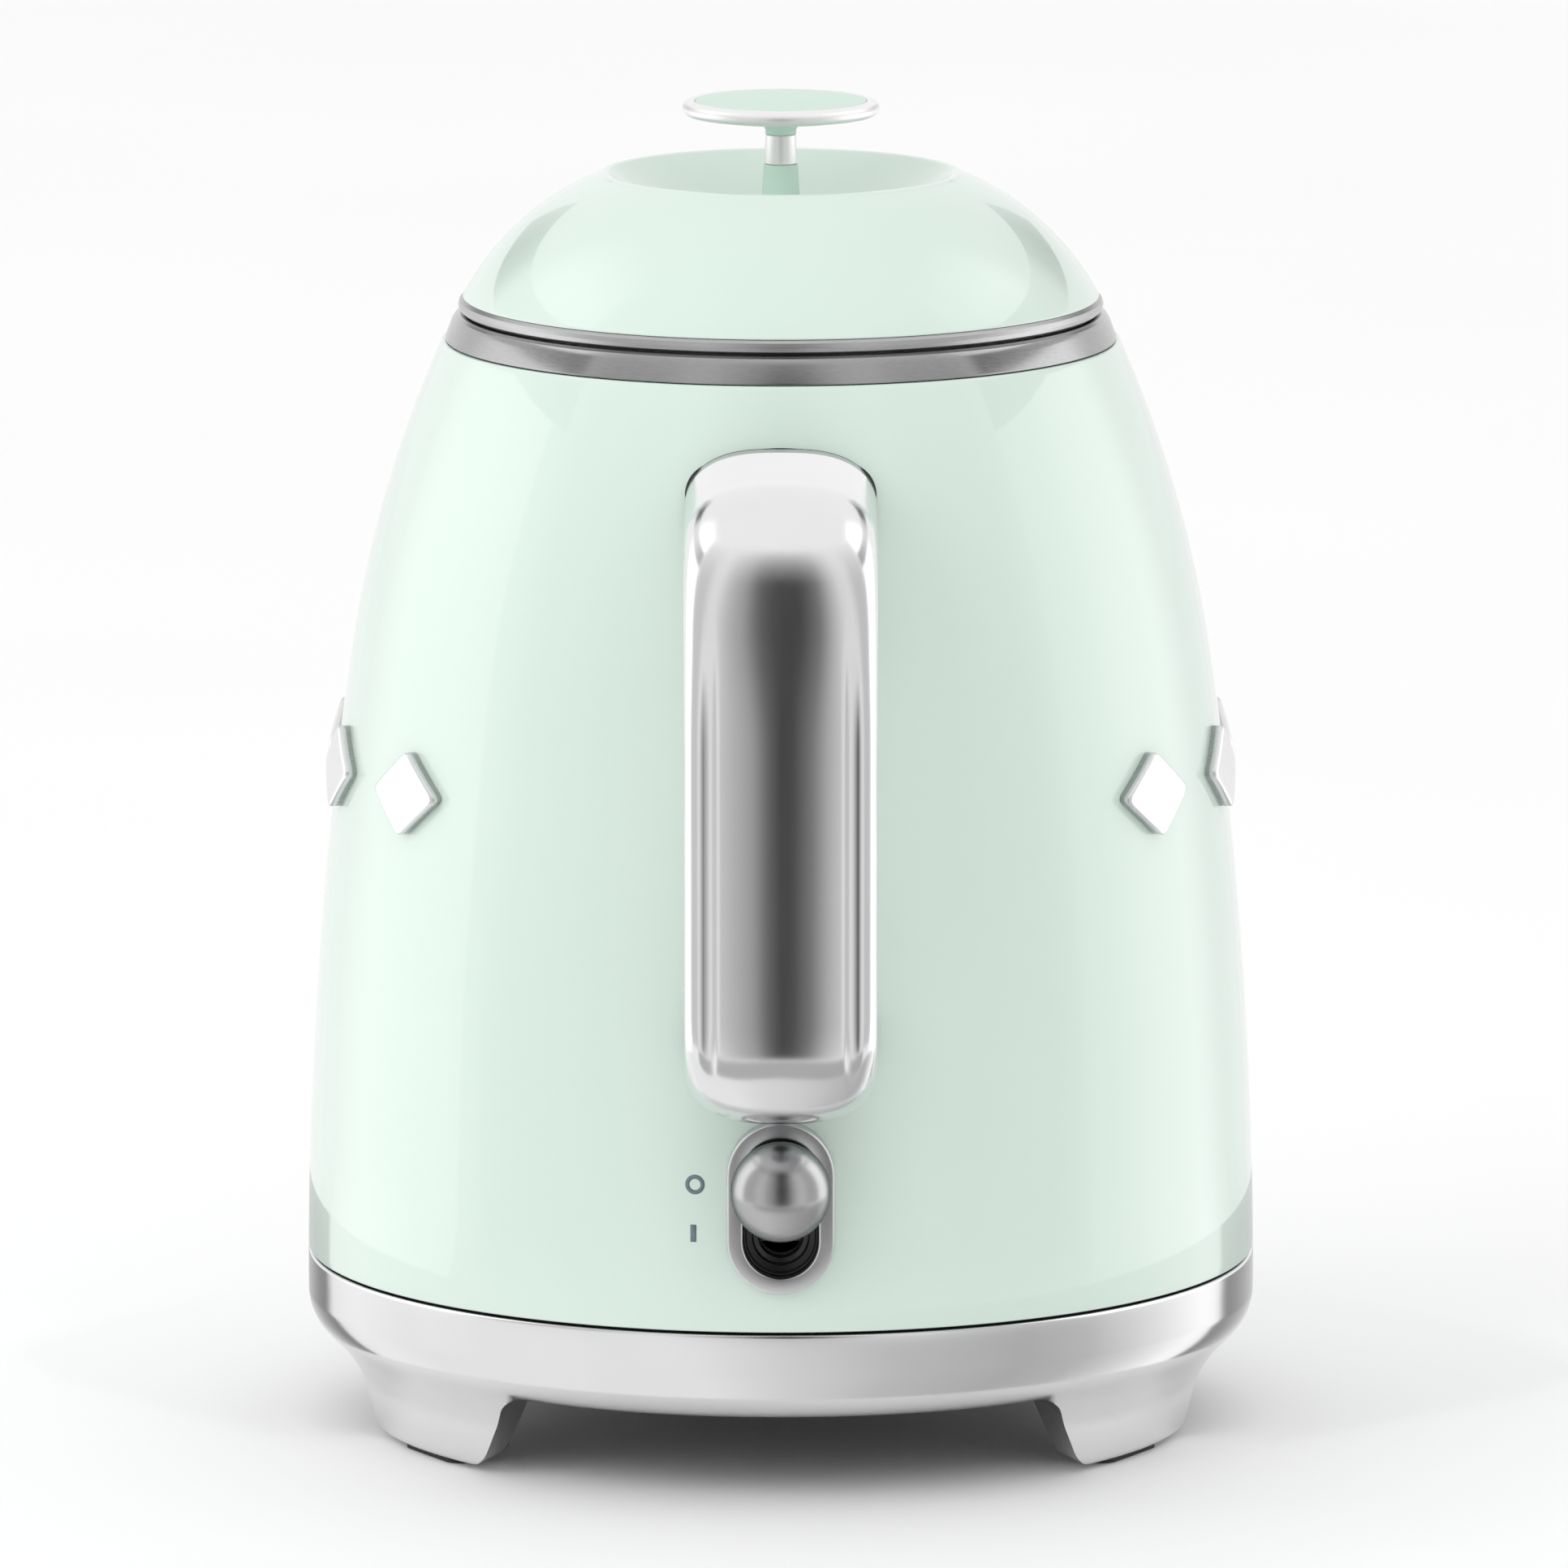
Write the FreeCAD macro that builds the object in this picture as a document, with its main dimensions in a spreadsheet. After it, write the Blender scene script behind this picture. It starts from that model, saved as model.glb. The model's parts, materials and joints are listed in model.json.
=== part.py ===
"""Cordless electric mini kettle on a three-legged swivel base, as a parametric assembly (mm).

The shapes are drawn about the kettle's own upright axis: +Z up from the worktop, -Y towards the
handle and +Y towards the spout. Each sub-part's Placement then moves that axis along Y by axis_y, so
that the document's origin is the middle of the kettle's footprint on the worktop.
An angle around the kettle is counted from the handle (-Y), anticlockwise seen from above.
"""

import FreeCAD, Part
import math
import os
import re

import Sketcher

SIZES = {
    # whole object
    "axis_y": 14.0,
    # power base
    "base_radius": 75.0,
    "base_top": 27.8,
    "ring_round": 8.0,
    "leg_radius": 66.0,
    "leg_bottom": 0.8,
    "leg_depth": 8.0,
    "ring_bottom": 13.4,
    "base_wall": 2.2,
    "flange_radius": 52.0,
    "flange_thick": 2.0,
    "window_top": 42.2,
    "window_bottom": 49.4,
    "window_corner": 2.5,
    "window_taper": 0.42,
    "plate_top": 26.3,
    "plate_thick": 1.8,
    "cover_radius": 57.4,
    "cover_thick": 1.6,
    "boss_circle": 54.8,
    "screw_radius": 1.4,
    "screw_head": 2.9,
    "foot_length": 12.0,
    "foot_radius": 2.6,
    "foot_circle": 61.6,
    "foot_inset": 1.6,
    "gland_bore": 3.6,
    "gland_length": 12.0,
    "gland_circle": 54.0,
    "gland_up": 6.9,
    "lead_circle": 36.0,
    "lead_radius": 4.5,
    "tower_radius": 12.0,
    "tower_wall": 3.0,
    "tower_top": 36.0,
    "pin_radius": 3.0,
    # kettle body
    "body_radius": 75.0,
    "body_height": 28.4,
    "belly_radius": 73.16,
    "belly_height": 74.5,
    "waist_radius": 68.21,
    "waist_height": 121.0,
    "shoulder_radius": 62.52,
    "shoulder_height": 148.0,
    "neck_radius": 53.37,
    "neck_height": 173.0,
    "body_wall": 1.0,
    "collar_top": 176.8,
    "mouth_radius": 49.6,
    "heater_height": 66.0,
    "socket_radius": 17.0,
    "socket_bottom": 29.2,
    "socket_roof": 37.2,
    "socket_top": 38.1,
    "bracket_circle": 67.0,
    "bracket_height": 34.0,
    "control_top": 49.2,
    "steam_y": 52.0,
    "steam_top": 158.0,
    "steam_bottom": 56.5,
    "disc_height": 54.8,
    # spout
    "spout_tip": 88.0,
    "spout_top": 170.8,
    "spout_half": 23.0,
    "spout_wall": 1.3,
    # lid
    "lid_radius": 50.2,
    "lid_bottom": 179.8,
    "crown_radius": 40.8,
    "crown_height": 191.6,
    "lip_radius": 27.7,
    "lip_height": 199.5,
    "dish_bottom": 189.4,
    "bead_radius": 50.8,
    "bead_bottom": 177.5,
    "post_radius": 3.2,
    "post_top": 200.7,
    "sleeve_radius": 2.6,
    "sleeve_top": 205.4,
    "knob_radius": 15.5,
    "knob_bottom": 207.2,
    "knob_top": 211.2,
    "inlay_radius": 13.5,
    "knob_bolt": 1.2,
    "lid_screw_circle": 30.0,
    "lid_boss_radius": 2.9,
    # handle
    "grip_y": 108.0,
    "grip_half_width": 14.75,
    "grip_half_depth": 8.0,
    "spine_half_width": 10.7,
    "spine_edge": 5.6,
    "grip_skin": 1.7,
    "grip_seam": 2.0,
    "arm_top": 156.0,
    "arm_bottom": 73.6,
    "bend_top": 14.0,
    "bend_bottom": 11.0,
    "gasket": 0.7,
    "stud_offset": 6.0,
    "stud_radius": 1.5,
    # switch
    "switch_height": 48.1,
    "bezel_half_width": 8.3,
    "bezel_half_height": 13.45,
    "bezel_proud": 2.0,
    "slot_half_width": 5.8,
    "slot_half_height": 11.0,
    "well_depth": 5.2,
    "lever_pivot": 64.0,
    "lever_reach": 24.73,
    "lever_angle": 11.4,
    "ball_radius": 7.75,
    "pivot_radius": 1.5,
    "trip_pivot": 44.0,
    "trip_height": 50.4,
    # ornaments on the sides
    "badge_half_width": 8.4,
    "badge_half_height": 6.8,
    "badge_height": 107.0,
    "badge_proud": 2.0,
    "badge_corner": 1.6,
    "badge_pitch": 29.4,
    # filter
    "filter_tilt": 17.0,
    "filter_half_width": 20.0,
    "filter_height": 30.0,
    "filter_thick": 2.0,
    "filter_y": 60.0,
    "filter_low": 137.5,
}

LEG_ANGLES = (60, 180, 300)
GLAND_ANGLE = 120
BRACKET_ANGLES = (30, 150, 270)
LID_SCREW_ANGLES = (0, 120, 240)
BADGE_STEPS = (-1.5, -0.5, 0.5, 1.5)

doc = FreeCAD.newDocument("kettle")
sheet = doc.addObject("Spreadsheet::Sheet", "dims")
nodes = []


def fill_sheet():
    for row, (word, size) in enumerate(SIZES.items(), start=1):
        sheet.set("A%d" % row, word)
        sheet.set("B%d" % row, str(size))
        sheet.setAlias("B%d" % row, word)
    doc.recompute()


def add_sheet_name(word):
    return "dims." + word.group() if word.group() in SIZES else word.group()


def bound(text):
    """An expression with every dimension's name pointed at the sheet."""
    return re.sub(r"[a-z][a-z_]*", add_sheet_name, str(text))


def value(text):
    """What an expression comes to with the present sizes."""
    return float(sheet.evalExpression(bound(text)))


def node(label, piece):
    """Name a finished sub-part and move it from the kettle's axis to its place in the document."""
    piece.Label = label
    piece.setExpression("Placement.Base.y", "dims.axis_y")
    nodes.append(piece)
    return piece


# ---------------------------------------------------------------- sketches and PartDesign features


def origin_feature(body, role):
    return next(item for item in body.Origin.OriginFeatures if item.Role == role)


def new_body(name):
    return doc.addObject("PartDesign::Body", name)


def pin_point(sketch, shape, end, across, up):
    """Tie one point of a sketch shape to the sheet, across and up from the sketch's origin."""
    for kind, text in (("DistanceX", across), ("DistanceY", up)):
        index = sketch.addConstraint(Sketcher.Constraint(kind, -1, 1, shape, end, value(text)))
        sketch.setExpression("Constraints[%d]" % index, bound(text))


def add_outline(sketch, corners, closed=True):
    """Draw an outline. A corner is (across, up); with two more values, an arc leads to the next corner
    through that point."""
    spots = [FreeCAD.Vector(value(corner[0]), value(corner[1]), 0) for corner in corners]
    count = len(corners) if closed else len(corners) - 1
    ends = []
    for index in range(count):
        start, stop = spots[index], spots[(index + 1) % len(spots)]
        if len(corners[index]) == 4:
            middle = FreeCAD.Vector(value(corners[index][2]), value(corners[index][3]), 0)
            shape = sketch.addGeometry(Part.Arc(start, middle, stop), False)
            first = 1 if sketch.getPoint(shape, 1).distanceToPoint(start) < 1e-4 else 2
            ends.append((shape, first, 3 - first))
            mark = sketch.addGeometry(Part.Point(middle), True)
            pin_point(sketch, mark, 1, corners[index][2], corners[index][3])
            sketch.addConstraint(Sketcher.Constraint("PointOnObject", mark, 1, shape))
        else:
            shape = sketch.addGeometry(Part.LineSegment(start, stop), False)
            ends.append((shape, 1, 2))
        pin_point(sketch, shape, ends[-1][1], corners[index][0], corners[index][1])
    for index in range(1 if not closed else 0, count):
        before, after = ends[index - 1], ends[index]
        sketch.addConstraint(Sketcher.Constraint("Coincident", before[0], before[2], after[0], after[1]))
    if not closed:
        pin_point(sketch, ends[-1][0], ends[-1][2], corners[-1][0], corners[-1][1])


def add_circle(sketch, across, up, radius):
    circle = Part.Circle(FreeCAD.Vector(value(across), value(up), 0), FreeCAD.Vector(0, 0, 1), value(radius))
    shape = sketch.addGeometry(circle, False)
    pin_point(sketch, shape, 3, across, up)
    index = sketch.addConstraint(Sketcher.Constraint("Radius", shape, value(radius)))
    sketch.setExpression("Constraints[%d]" % index, bound(radius))


def new_sketch(body, role, offset="0"):
    sketch = body.newObject("Sketcher::SketchObject", body.Name + "_sketch")
    sketch.AttachmentSupport = [(origin_feature(body, role), "")]
    sketch.MapMode = "FlatFace"
    sketch.setExpression("AttachmentOffset.Base.z", bound(offset))
    return sketch


def stadium(half_width, half_height, height):
    """An upright slot outline with round ends, centred on the sketch's vertical axis."""
    low = "%s - (%s) + (%s)" % (height, half_height, half_width)
    high = "%s + (%s) - (%s)" % (height, half_height, half_width)
    return [
        ("-(%s)" % half_width, low, "0", "%s - (%s)" % (height, half_height)),
        (half_width, low),
        (half_width, high, "0", "%s + (%s)" % (height, half_height)),
        ("-(%s)" % half_width, high),
    ]


def revolve(body, corners, angle=360, kind="Revolution"):
    """Turn an outline of (radius, height) corners about the kettle's axis."""
    sketch = new_sketch(body, "XZ_Plane")
    add_outline(sketch, corners)
    turned = body.newObject("PartDesign::" + kind, body.Name + "_" + kind.lower())
    turned.Profile = sketch
    turned.ReferenceAxis = (sketch, ["V_Axis"])
    turned.Angle = angle
    doc.recompute()
    return turned


def lathe(name, corners):
    body = new_body(name)
    revolve(body, corners)
    return body


def pad(body, role, corners, length, offset="0", midplane=False):
    sketch = new_sketch(body, role, offset)
    add_outline(sketch, corners)
    raised = body.newObject("PartDesign::Pad", body.Name + "_pad")
    raised.Profile = sketch
    raised.setExpression("Length", bound(length))
    raised.Midplane = midplane
    doc.recompute()
    return raised


def pocket(body, sketch, length, flip=False):
    before = body.Tip.Shape.Volume
    cut_out = body.newObject("PartDesign::Pocket", body.Name + "_pocket")
    cut_out.Profile = sketch
    cut_out.setExpression("Length", bound(length))
    cut_out.Reversed = flip
    doc.recompute()
    if cut_out.Shape.Volume > before - 0.01:
        raise RuntimeError("a pocket in %s cuts nothing" % body.Name)
    return cut_out


def repeat_round(body, feature, count=3):
    """Repeat a feature evenly around the kettle's axis."""
    pattern = body.newObject("PartDesign::PolarPattern", body.Name + "_pattern")
    pattern.Originals = [feature]
    pattern.Axis = (origin_feature(body, "Z_Axis"), [""])
    pattern.Angle = 360
    pattern.Occurrences = count
    body.Tip = pattern
    doc.recompute()
    return pattern


# ---------------------------------------------------------------- Part primitives and booleans


def primitive(kind, name, sizes, at=("0", "0", "0"), axis=(0, 0, 1), turn=0):
    """A Part primitive with its sizes and place bound to the sheet, turned about an axis first."""
    piece = doc.addObject("Part::" + kind, name)
    piece.Placement = FreeCAD.Placement(FreeCAD.Vector(), FreeCAD.Rotation(FreeCAD.Vector(*axis), turn))
    for word, text in sizes.items():
        piece.setExpression(word, bound(text))
    for letter, text in zip("xyz", at):
        piece.setExpression("Placement.Base." + letter, bound(text))
    return piece


def cylinder(name, radius, height, at=("0", "0", "0"), axis=(0, 0, 1), turn=0):
    return primitive("Cylinder", name, {"Radius": radius, "Height": height}, at, axis, turn)


def box(name, size, at):
    return primitive("Box", name, dict(zip(("Length", "Width", "Height"), size)), at)


def combine(kind, name, pieces):
    """Part::MultiFuse or Part::Compound of some pieces."""
    whole = doc.addObject("Part::" + kind, name)
    setattr(whole, "Links" if kind == "Compound" else "Shapes", pieces)
    return whole


def boolean(kind, name, base, tool):
    """Part::Cut or Part::Common of two pieces."""
    result = doc.addObject("Part::" + kind, name)
    result.Base = base
    result.Tool = tool
    return result


def swing(piece, angle):
    """Turn a piece about the kettle's axis."""
    piece.Placement = FreeCAD.Placement(FreeCAD.Vector(), FreeCAD.Rotation(FreeCAD.Vector(0, 0, 1), angle))
    return piece


def around(circle, angle, up):
    """A place at an angle around the kettle, on a circle and at a height."""
    return "%s * sin(%d)" % (circle, angle), "-%s * cos(%d)" % (circle, angle), up


def drills(name, circle, angles, radius, low, length):
    """Upright cylinders around the kettle, to cut holes or stand as bosses."""
    return [cylinder(name, radius, length, around(circle, angle, low)) for angle in angles]


# ---------------------------------------------------------------- shared outlines


def body_outline(grow, low="body_height", high="neck_height"):
    """The kettle's bell-shaped profile, grown outwards by an amount and closed on the axis."""
    return [
        ("0", low),
        ("body_radius + (%s)" % grow, low, "belly_radius + (%s)" % grow, "belly_height"),
        ("waist_radius + (%s)" % grow, "waist_height", "shoulder_radius + (%s)" % grow, "shoulder_height"),
        ("neck_radius + (%s)" % grow, high),
        ("0", high),
    ]


def body_skin(inner, outer):
    """A bell-shaped skin between two distances from the kettle's outer surface."""
    return [
        ("body_radius + (%s)" % outer, "body_height", "belly_radius + (%s)" % outer, "belly_height"),
        ("waist_radius + (%s)" % outer, "waist_height", "shoulder_radius + (%s)" % outer, "shoulder_height"),
        ("neck_radius + (%s)" % outer, "neck_height"),
        ("neck_radius + (%s)" % inner, "neck_height", "shoulder_radius + (%s)" % inner, "shoulder_height"),
        ("waist_radius + (%s)" % inner, "waist_height", "belly_radius + (%s)" % inner, "belly_height"),
        ("body_radius + (%s)" % inner, "body_height"),
    ]


def ring(inner, outer, low, high):
    return [(inner, low), (outer, low), (outer, high), (inner, high)]


def screws(name, circle, low, length, angles, head_high="1.3"):
    """Identical screws pointing up, with the underside of each head at a height."""
    pieces = []
    for angle in angles:
        head_low = "%s - %s" % (low, head_high)
        head = cylinder(name + "_head", "screw_head", head_high, ("0", "-(%s)" % circle, head_low))
        shank = cylinder(name + "_shank", "screw_radius", length, ("0", "-(%s)" % circle, low))
        pieces.append(swing(combine("MultiFuse", name + "_screw", [head, shank]), angle))
    return combine("Compound", name, pieces)


# ---------------------------------------------------------------- power base


def make_base_shell():
    """The chrome ring with its rounded lower edge, three legs and an inner flange."""
    body = new_body("base_shell_turned")
    half_turn = ("base_radius - ring_round * 0.2929", "ring_bottom + ring_round * 0.2929")
    revolve(body, [
        ("base_radius - 0.4", "base_top"),
        ("base_radius", "base_top - 0.4"),
        ("base_radius", "ring_bottom + ring_round") + half_turn,
        ("base_radius - ring_round * 0.82", "ring_bottom + ring_round * 0.0162")
        + ("leg_radius + 1.6", "ring_bottom - 1"),
        ("leg_radius + 1.1", "ring_bottom - 3.2"),
        ("leg_radius", "leg_bottom"),
        ("leg_radius - leg_depth", "leg_bottom"),
        ("leg_radius - leg_depth", "ring_bottom"),
        ("flange_radius", "ring_bottom"),
        ("flange_radius", "ring_bottom + flange_thick"),
        ("base_radius - base_wall - 3", "ring_bottom + flange_thick"),
        ("base_radius - base_wall", "ring_bottom + flange_thick + 3"),
        ("base_radius - base_wall", "base_top"),
    ])
    windows = []
    for depth in ("20", "90"):
        sketch = new_sketch(body, "XZ_Plane", depth)
        spread = "window_taper * (%s - flange_radius)" % depth
        top = "(window_top + %s)" % spread
        low = "(window_bottom + %s)" % spread
        add_outline(sketch, [
            ("-" + low, "-3"),
            (low, "-3"),
            (low, "leg_bottom"),
            (top, "ring_bottom - window_corner", top + " - 0.9", "ring_bottom - 0.7"),
            (top + " - window_corner", "ring_bottom"),
            ("-%s + window_corner" % top, "ring_bottom", "-%s + 0.9" % top, "ring_bottom - 0.7"),
            ("-" + top, "ring_bottom - window_corner"),
            ("-" + low, "leg_bottom"),
        ])
        windows.append(sketch)
    opening = body.newObject("PartDesign::SubtractiveLoft", "base_window")
    opening.Profile = windows[0]
    opening.Sections = [windows[1]]
    opening.Ruled = True
    doc.recompute()
    repeat_round(body, opening)
    pads = foot_bars("foot_slot", "foot_radius + 0.1", "leg_bottom + foot_inset")
    holes = drills("shell_hole", "boss_circle", LEG_ANGLES, "screw_radius + 0.15", "ring_bottom - 4", "10")
    node("base_shell", boolean("Cut", "base_shell", body, combine("MultiFuse", "shell_cuts", pads + holes)))


def foot_bars(name, radius, top):
    """Three rounded bars under the legs, which lie across each leg."""
    bars = []
    for angle in LEG_ANGLES:
        half = "(foot_length / 2)"
        corner = ("-" + half, "-foot_circle - (%s)" % radius, "0")
        bar = box(name + "_bar", ("foot_length", "2 * (%s)" % radius, top), corner)
        centres = [(side + half, "-foot_circle", "0") for side in ("-", "")]
        ends = [cylinder(name + "_end", radius, top, centre) for centre in centres]
        bars.append(swing(combine("MultiFuse", name, [bar] + ends), angle))
    return bars


def make_foot_pads():
    bars = foot_bars("foot_pad", "foot_radius", "leg_bottom + foot_inset")
    node("foot_pads", combine("Compound", "foot_pads", bars))


def make_base_top_plate():
    """The flat top of the base, dished round the coupling, with three screw bosses under it."""
    body = lathe("base_plate_turned", [
        ("tower_radius + 3.2", "plate_top - plate_thick"),
        ("base_radius - base_wall - 0.2", "plate_top - plate_thick"),
        ("base_radius - base_wall - 0.2", "plate_top"),
        ("tower_radius + 9", "plate_top"),
        ("tower_radius + 8", "plate_top - 0.6"),
        ("tower_radius + 3.2", "plate_top - 0.6"),
    ])
    low = "ring_bottom + flange_thick"
    length = "plate_top - plate_thick - ring_bottom - flange_thick"
    bosses = drills("plate_boss", "boss_circle", LEG_ANGLES, "3.4", low, length)
    bores = drills("plate_bore", "boss_circle", LEG_ANGLES, "screw_radius + 0.05", low + " - 0.5", "8")
    whole = combine("MultiFuse", "plate_with_bosses", [body] + bosses)
    cuts = combine("MultiFuse", "plate_bores", bores)
    node("base_top_plate", boolean("Cut", "base_top_plate", whole, cuts))


def make_base_bottom_cover():
    body = lathe("base_cover_turned", [
        ("0", "ring_bottom - cover_thick"),
        ("cover_radius - 0.6", "ring_bottom - cover_thick"),
        ("cover_radius", "ring_bottom - cover_thick + 0.6"),
        ("cover_radius", "ring_bottom"),
        ("0", "ring_bottom"),
    ])
    low = "ring_bottom - 4"
    holes = drills("cover_hole", "boss_circle", LEG_ANGLES, "screw_radius + 0.15", low, "6")
    holes += drills("cover_lead_hole", "lead_circle", (GLAND_ANGLE,), "lead_radius", low, "6")
    cuts = combine("MultiFuse", "cover_holes", holes)
    node("base_bottom_cover", boolean("Cut", "base_bottom_cover", body, cuts))


def make_base_cover_screws():
    low = "ring_bottom - cover_thick"
    node("base_cover_screws", screws("base_cover_screws", "boss_circle", low, "9.4", LEG_ANGLES))


def make_base_connector():
    """The round male half of the swivel coupling: a hub, a ring wall and a centre post."""
    node("base_connector", lathe("base_connector", [
        ("0", "plate_top - 8"),
        ("tower_radius + 6", "plate_top - 8"),
        ("tower_radius + 6", "plate_top - plate_thick - 0.1"),
        ("tower_radius + 3", "plate_top - plate_thick - 0.1"),
        ("tower_radius + 3", "plate_top - 0.6"),
        ("tower_radius", "plate_top - 0.6"),
        ("tower_radius", "tower_top - 0.8"),
        ("tower_radius - 0.8", "tower_top"),
        ("tower_radius - tower_wall + 0.5", "tower_top"),
        ("tower_radius - tower_wall", "tower_top - 0.5"),
        ("tower_radius - tower_wall", "plate_top - 0.6"),
        ("pin_radius", "plate_top - 0.6"),
        ("pin_radius", "tower_top - 0.6"),
        ("pin_radius - 1", "tower_top + 0.6"),
        ("0", "tower_top + 0.6"),
    ]))


def make_base_contacts():
    """Two sprung brass sleeves inside the coupling, one on the ring wall and one on the post."""
    low, high, wall = "plate_top - 0.6", "tower_top - 2", "tower_radius - tower_wall"
    inner = lathe("post_contact", ring("pin_radius + 0.02", "pin_radius + 0.5", low, high))
    outer = lathe("wall_contact", ring(wall + " - 0.5", wall + " - 0.02", low, high))
    node("base_contacts", combine("Compound", "base_contacts", [inner, outer]))


def make_cord_gland():
    """The grommet under the base that a mains lead would come out of."""
    start = "-gland_circle"
    rise = "ring_bottom - cover_thick - gland_up"
    block = box("gland_block", ("2 * (%s)" % rise, "gland_length", rise), ("-(%s)" % rise, start, "gland_up"))
    round_part = cylinder("gland_round", rise, "gland_length", ("0", start, "gland_up"), (1, 0, 0), -90)
    bore_start = ("0", start + " - 1", "gland_up")
    bore = cylinder("gland_bore", "gland_bore", "gland_length + 2", bore_start, (1, 0, 0), -90)
    drilled = boolean("Cut", "gland_drilled", combine("MultiFuse", "gland_solid", [block, round_part]), bore)
    node("cord_gland", combine("Compound", "cord_gland", [swing(drilled, GLAND_ANGLE)]))


def make_cord_clamp():
    """The saddle inside the base that would hold the lead."""
    bar = box("clamp_bar", ("20", "7", "5"), ("-10", "-30", "ring_bottom"))
    groove = cylinder("clamp_groove", "gland_bore", "9", ("0", "-31", "ring_bottom"), (1, 0, 0), -90)
    saddle = boolean("Cut", "clamp_saddle", bar, groove)
    node("cord_clamp", combine("Compound", "cord_clamp", [swing(saddle, GLAND_ANGLE)]))


# ---------------------------------------------------------------- kettle body


def spout_solid(name, shrink, low, high):
    """A V-shaped beak, lofted between level outlines; shrink moves its faces inwards."""
    body = new_body(name)
    levels = []
    for height, share, tip in (
        (low, 0.12, "waist_radius - 1.5"),
        ("waist_height + 14", 0.36, "waist_radius + 2.6"),
        ("waist_height + 32", 0.72, "spout_tip - 8.4"),
        (high, 1.0, "spout_tip"),
    ):
        half = "(spout_half * %s - (%s))" % (share, shrink)
        nose = "(%s - (%s) * 1.6)" % (tip, shrink)
        sketch = new_sketch(body, "XY_Plane", height)
        add_outline(sketch, [
            ("-" + half, "30"),
            (half, "30"),
            (half, "neck_radius - 8"),
            (half + " * 0.22", nose + " - 2.2", "0", nose),
            ("-%s * 0.22" % half, nose + " - 2.2"),
            ("-" + half, "neck_radius - 8"),
        ])
        levels.append(sketch)
    loft = body.newObject("PartDesign::AdditiveLoft", name + "_loft")
    loft.Profile = levels[0]
    loft.Sections = levels[1:]
    doc.recompute()
    return body


def make_spout():
    """The beak, hollow inside and open into the body and at its lip."""
    outer = spout_solid("spout_outer", "0", "waist_height + 2", "spout_top")
    wall_space = lathe("spout_root_tool", body_outline("0.02"))
    inner = spout_solid("spout_inner", "spout_wall", "waist_height + 5", "spout_top + 0.6")
    beak = boolean("Cut", "spout_beak", outer, combine("MultiFuse", "spout_tools", [wall_space, inner]))
    node("spout", combine("Compound", "spout", [beak]))


def make_body_shell():
    """The painted wall, with the switch's slot at the back and the way into the spout."""
    body = lathe("body_shell_turned", body_skin("-body_wall", "0"))
    slot_sketch = new_sketch(body, "XZ_Plane", "body_radius - 20")
    add_outline(slot_sketch, stadium("slot_half_width + 0.9", "slot_half_height + 0.9", "switch_height"))
    pocket(body, slot_sketch, "30", flip=True)
    mouth = spout_solid("body_spout_tool", "spout_wall + 0.6", "waist_height + 8", "spout_top")
    node("body_shell", boolean("Cut", "body_shell", body, mouth))


def make_rim_collar():
    node("rim_collar", lathe("rim_collar", [
        ("mouth_radius", "neck_height - 5"),
        ("mouth_radius + 1.6", "neck_height - 5"),
        ("mouth_radius + 2", "neck_height + 0.1"),
        ("neck_radius - 0.45", "neck_height + 0.1"),
        ("neck_radius - 1.55", "collar_top - 0.7"),
        ("neck_radius - 2.35", "collar_top"),
        ("mouth_radius + 0.4", "collar_top"),
        ("mouth_radius", "collar_top - 0.4"),
    ]))


def make_heater_plate():
    body = lathe("heater_plate_turned", [
        ("0", "heater_height - 1"),
        ("belly_radius - 3.6", "heater_height - 1"),
        ("belly_radius - 1.6", "heater_height - 3"),
        ("belly_radius - 1.6", "heater_height - 5"),
        ("belly_radius - 0.6", "heater_height - 5"),
        ("belly_radius - 0.6", "heater_height - 2.4", "belly_radius - 1.4", "heater_height - 0.7"),
        ("belly_radius - 3", "heater_height"),
        ("0", "heater_height"),
    ])
    hole = cylinder("steam_hole", "4.05", "4", ("0", "-steam_y", "heater_height - 2"))
    node("heater_plate", boolean("Cut", "heater_plate", body, hole))


def make_plate_seal():
    outline = ring("belly_radius - 2.4", "belly_radius - 0.6", "heater_height + 0.05", "heater_height + 1.8")
    node("plate_seal", lathe("plate_seal", outline))


def make_heat_diffuser():
    outline = ring("0", "46", "heater_height - 4.2", "heater_height - 1.02")
    node("heat_diffuser", lathe("heat_diffuser", outline))


def make_heating_element():
    """A sheathed tube bent round into most of a circle, with a cold tail at each end."""
    centre = ("0", "0", "heater_height - 7.45")
    sizes = {"Radius1": "38", "Radius2": "3.2", "Angle3": "310"}
    loop = primitive("Torus", "element_loop", sizes, centre, (0, 0, 1), 115)
    tails = drills("element_tail", "38", (155, 205), "2.2", "heater_height - 16", "9")
    node("heating_element", combine("MultiFuse", "heating_element", [loop] + tails))


def make_control_unit():
    """The thermostat block between the element and the swivel socket."""
    low = "socket_top + 0.1"
    block = box("control_block", ("46", "34", "control_top - (%s)" % low), ("-23", "-15", low))
    tower = box("control_tower", ("18", "12", "4.6"), ("-9", "-8", "control_top"))
    arm_low = "control_top - 5.2"
    arms = [box("control_arm", ("5", "26", "3"), (place, "14", arm_low)) for place in ("-19", "14")]
    node("control_unit", combine("MultiFuse", "control_unit", [block, tower] + arms))


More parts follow.
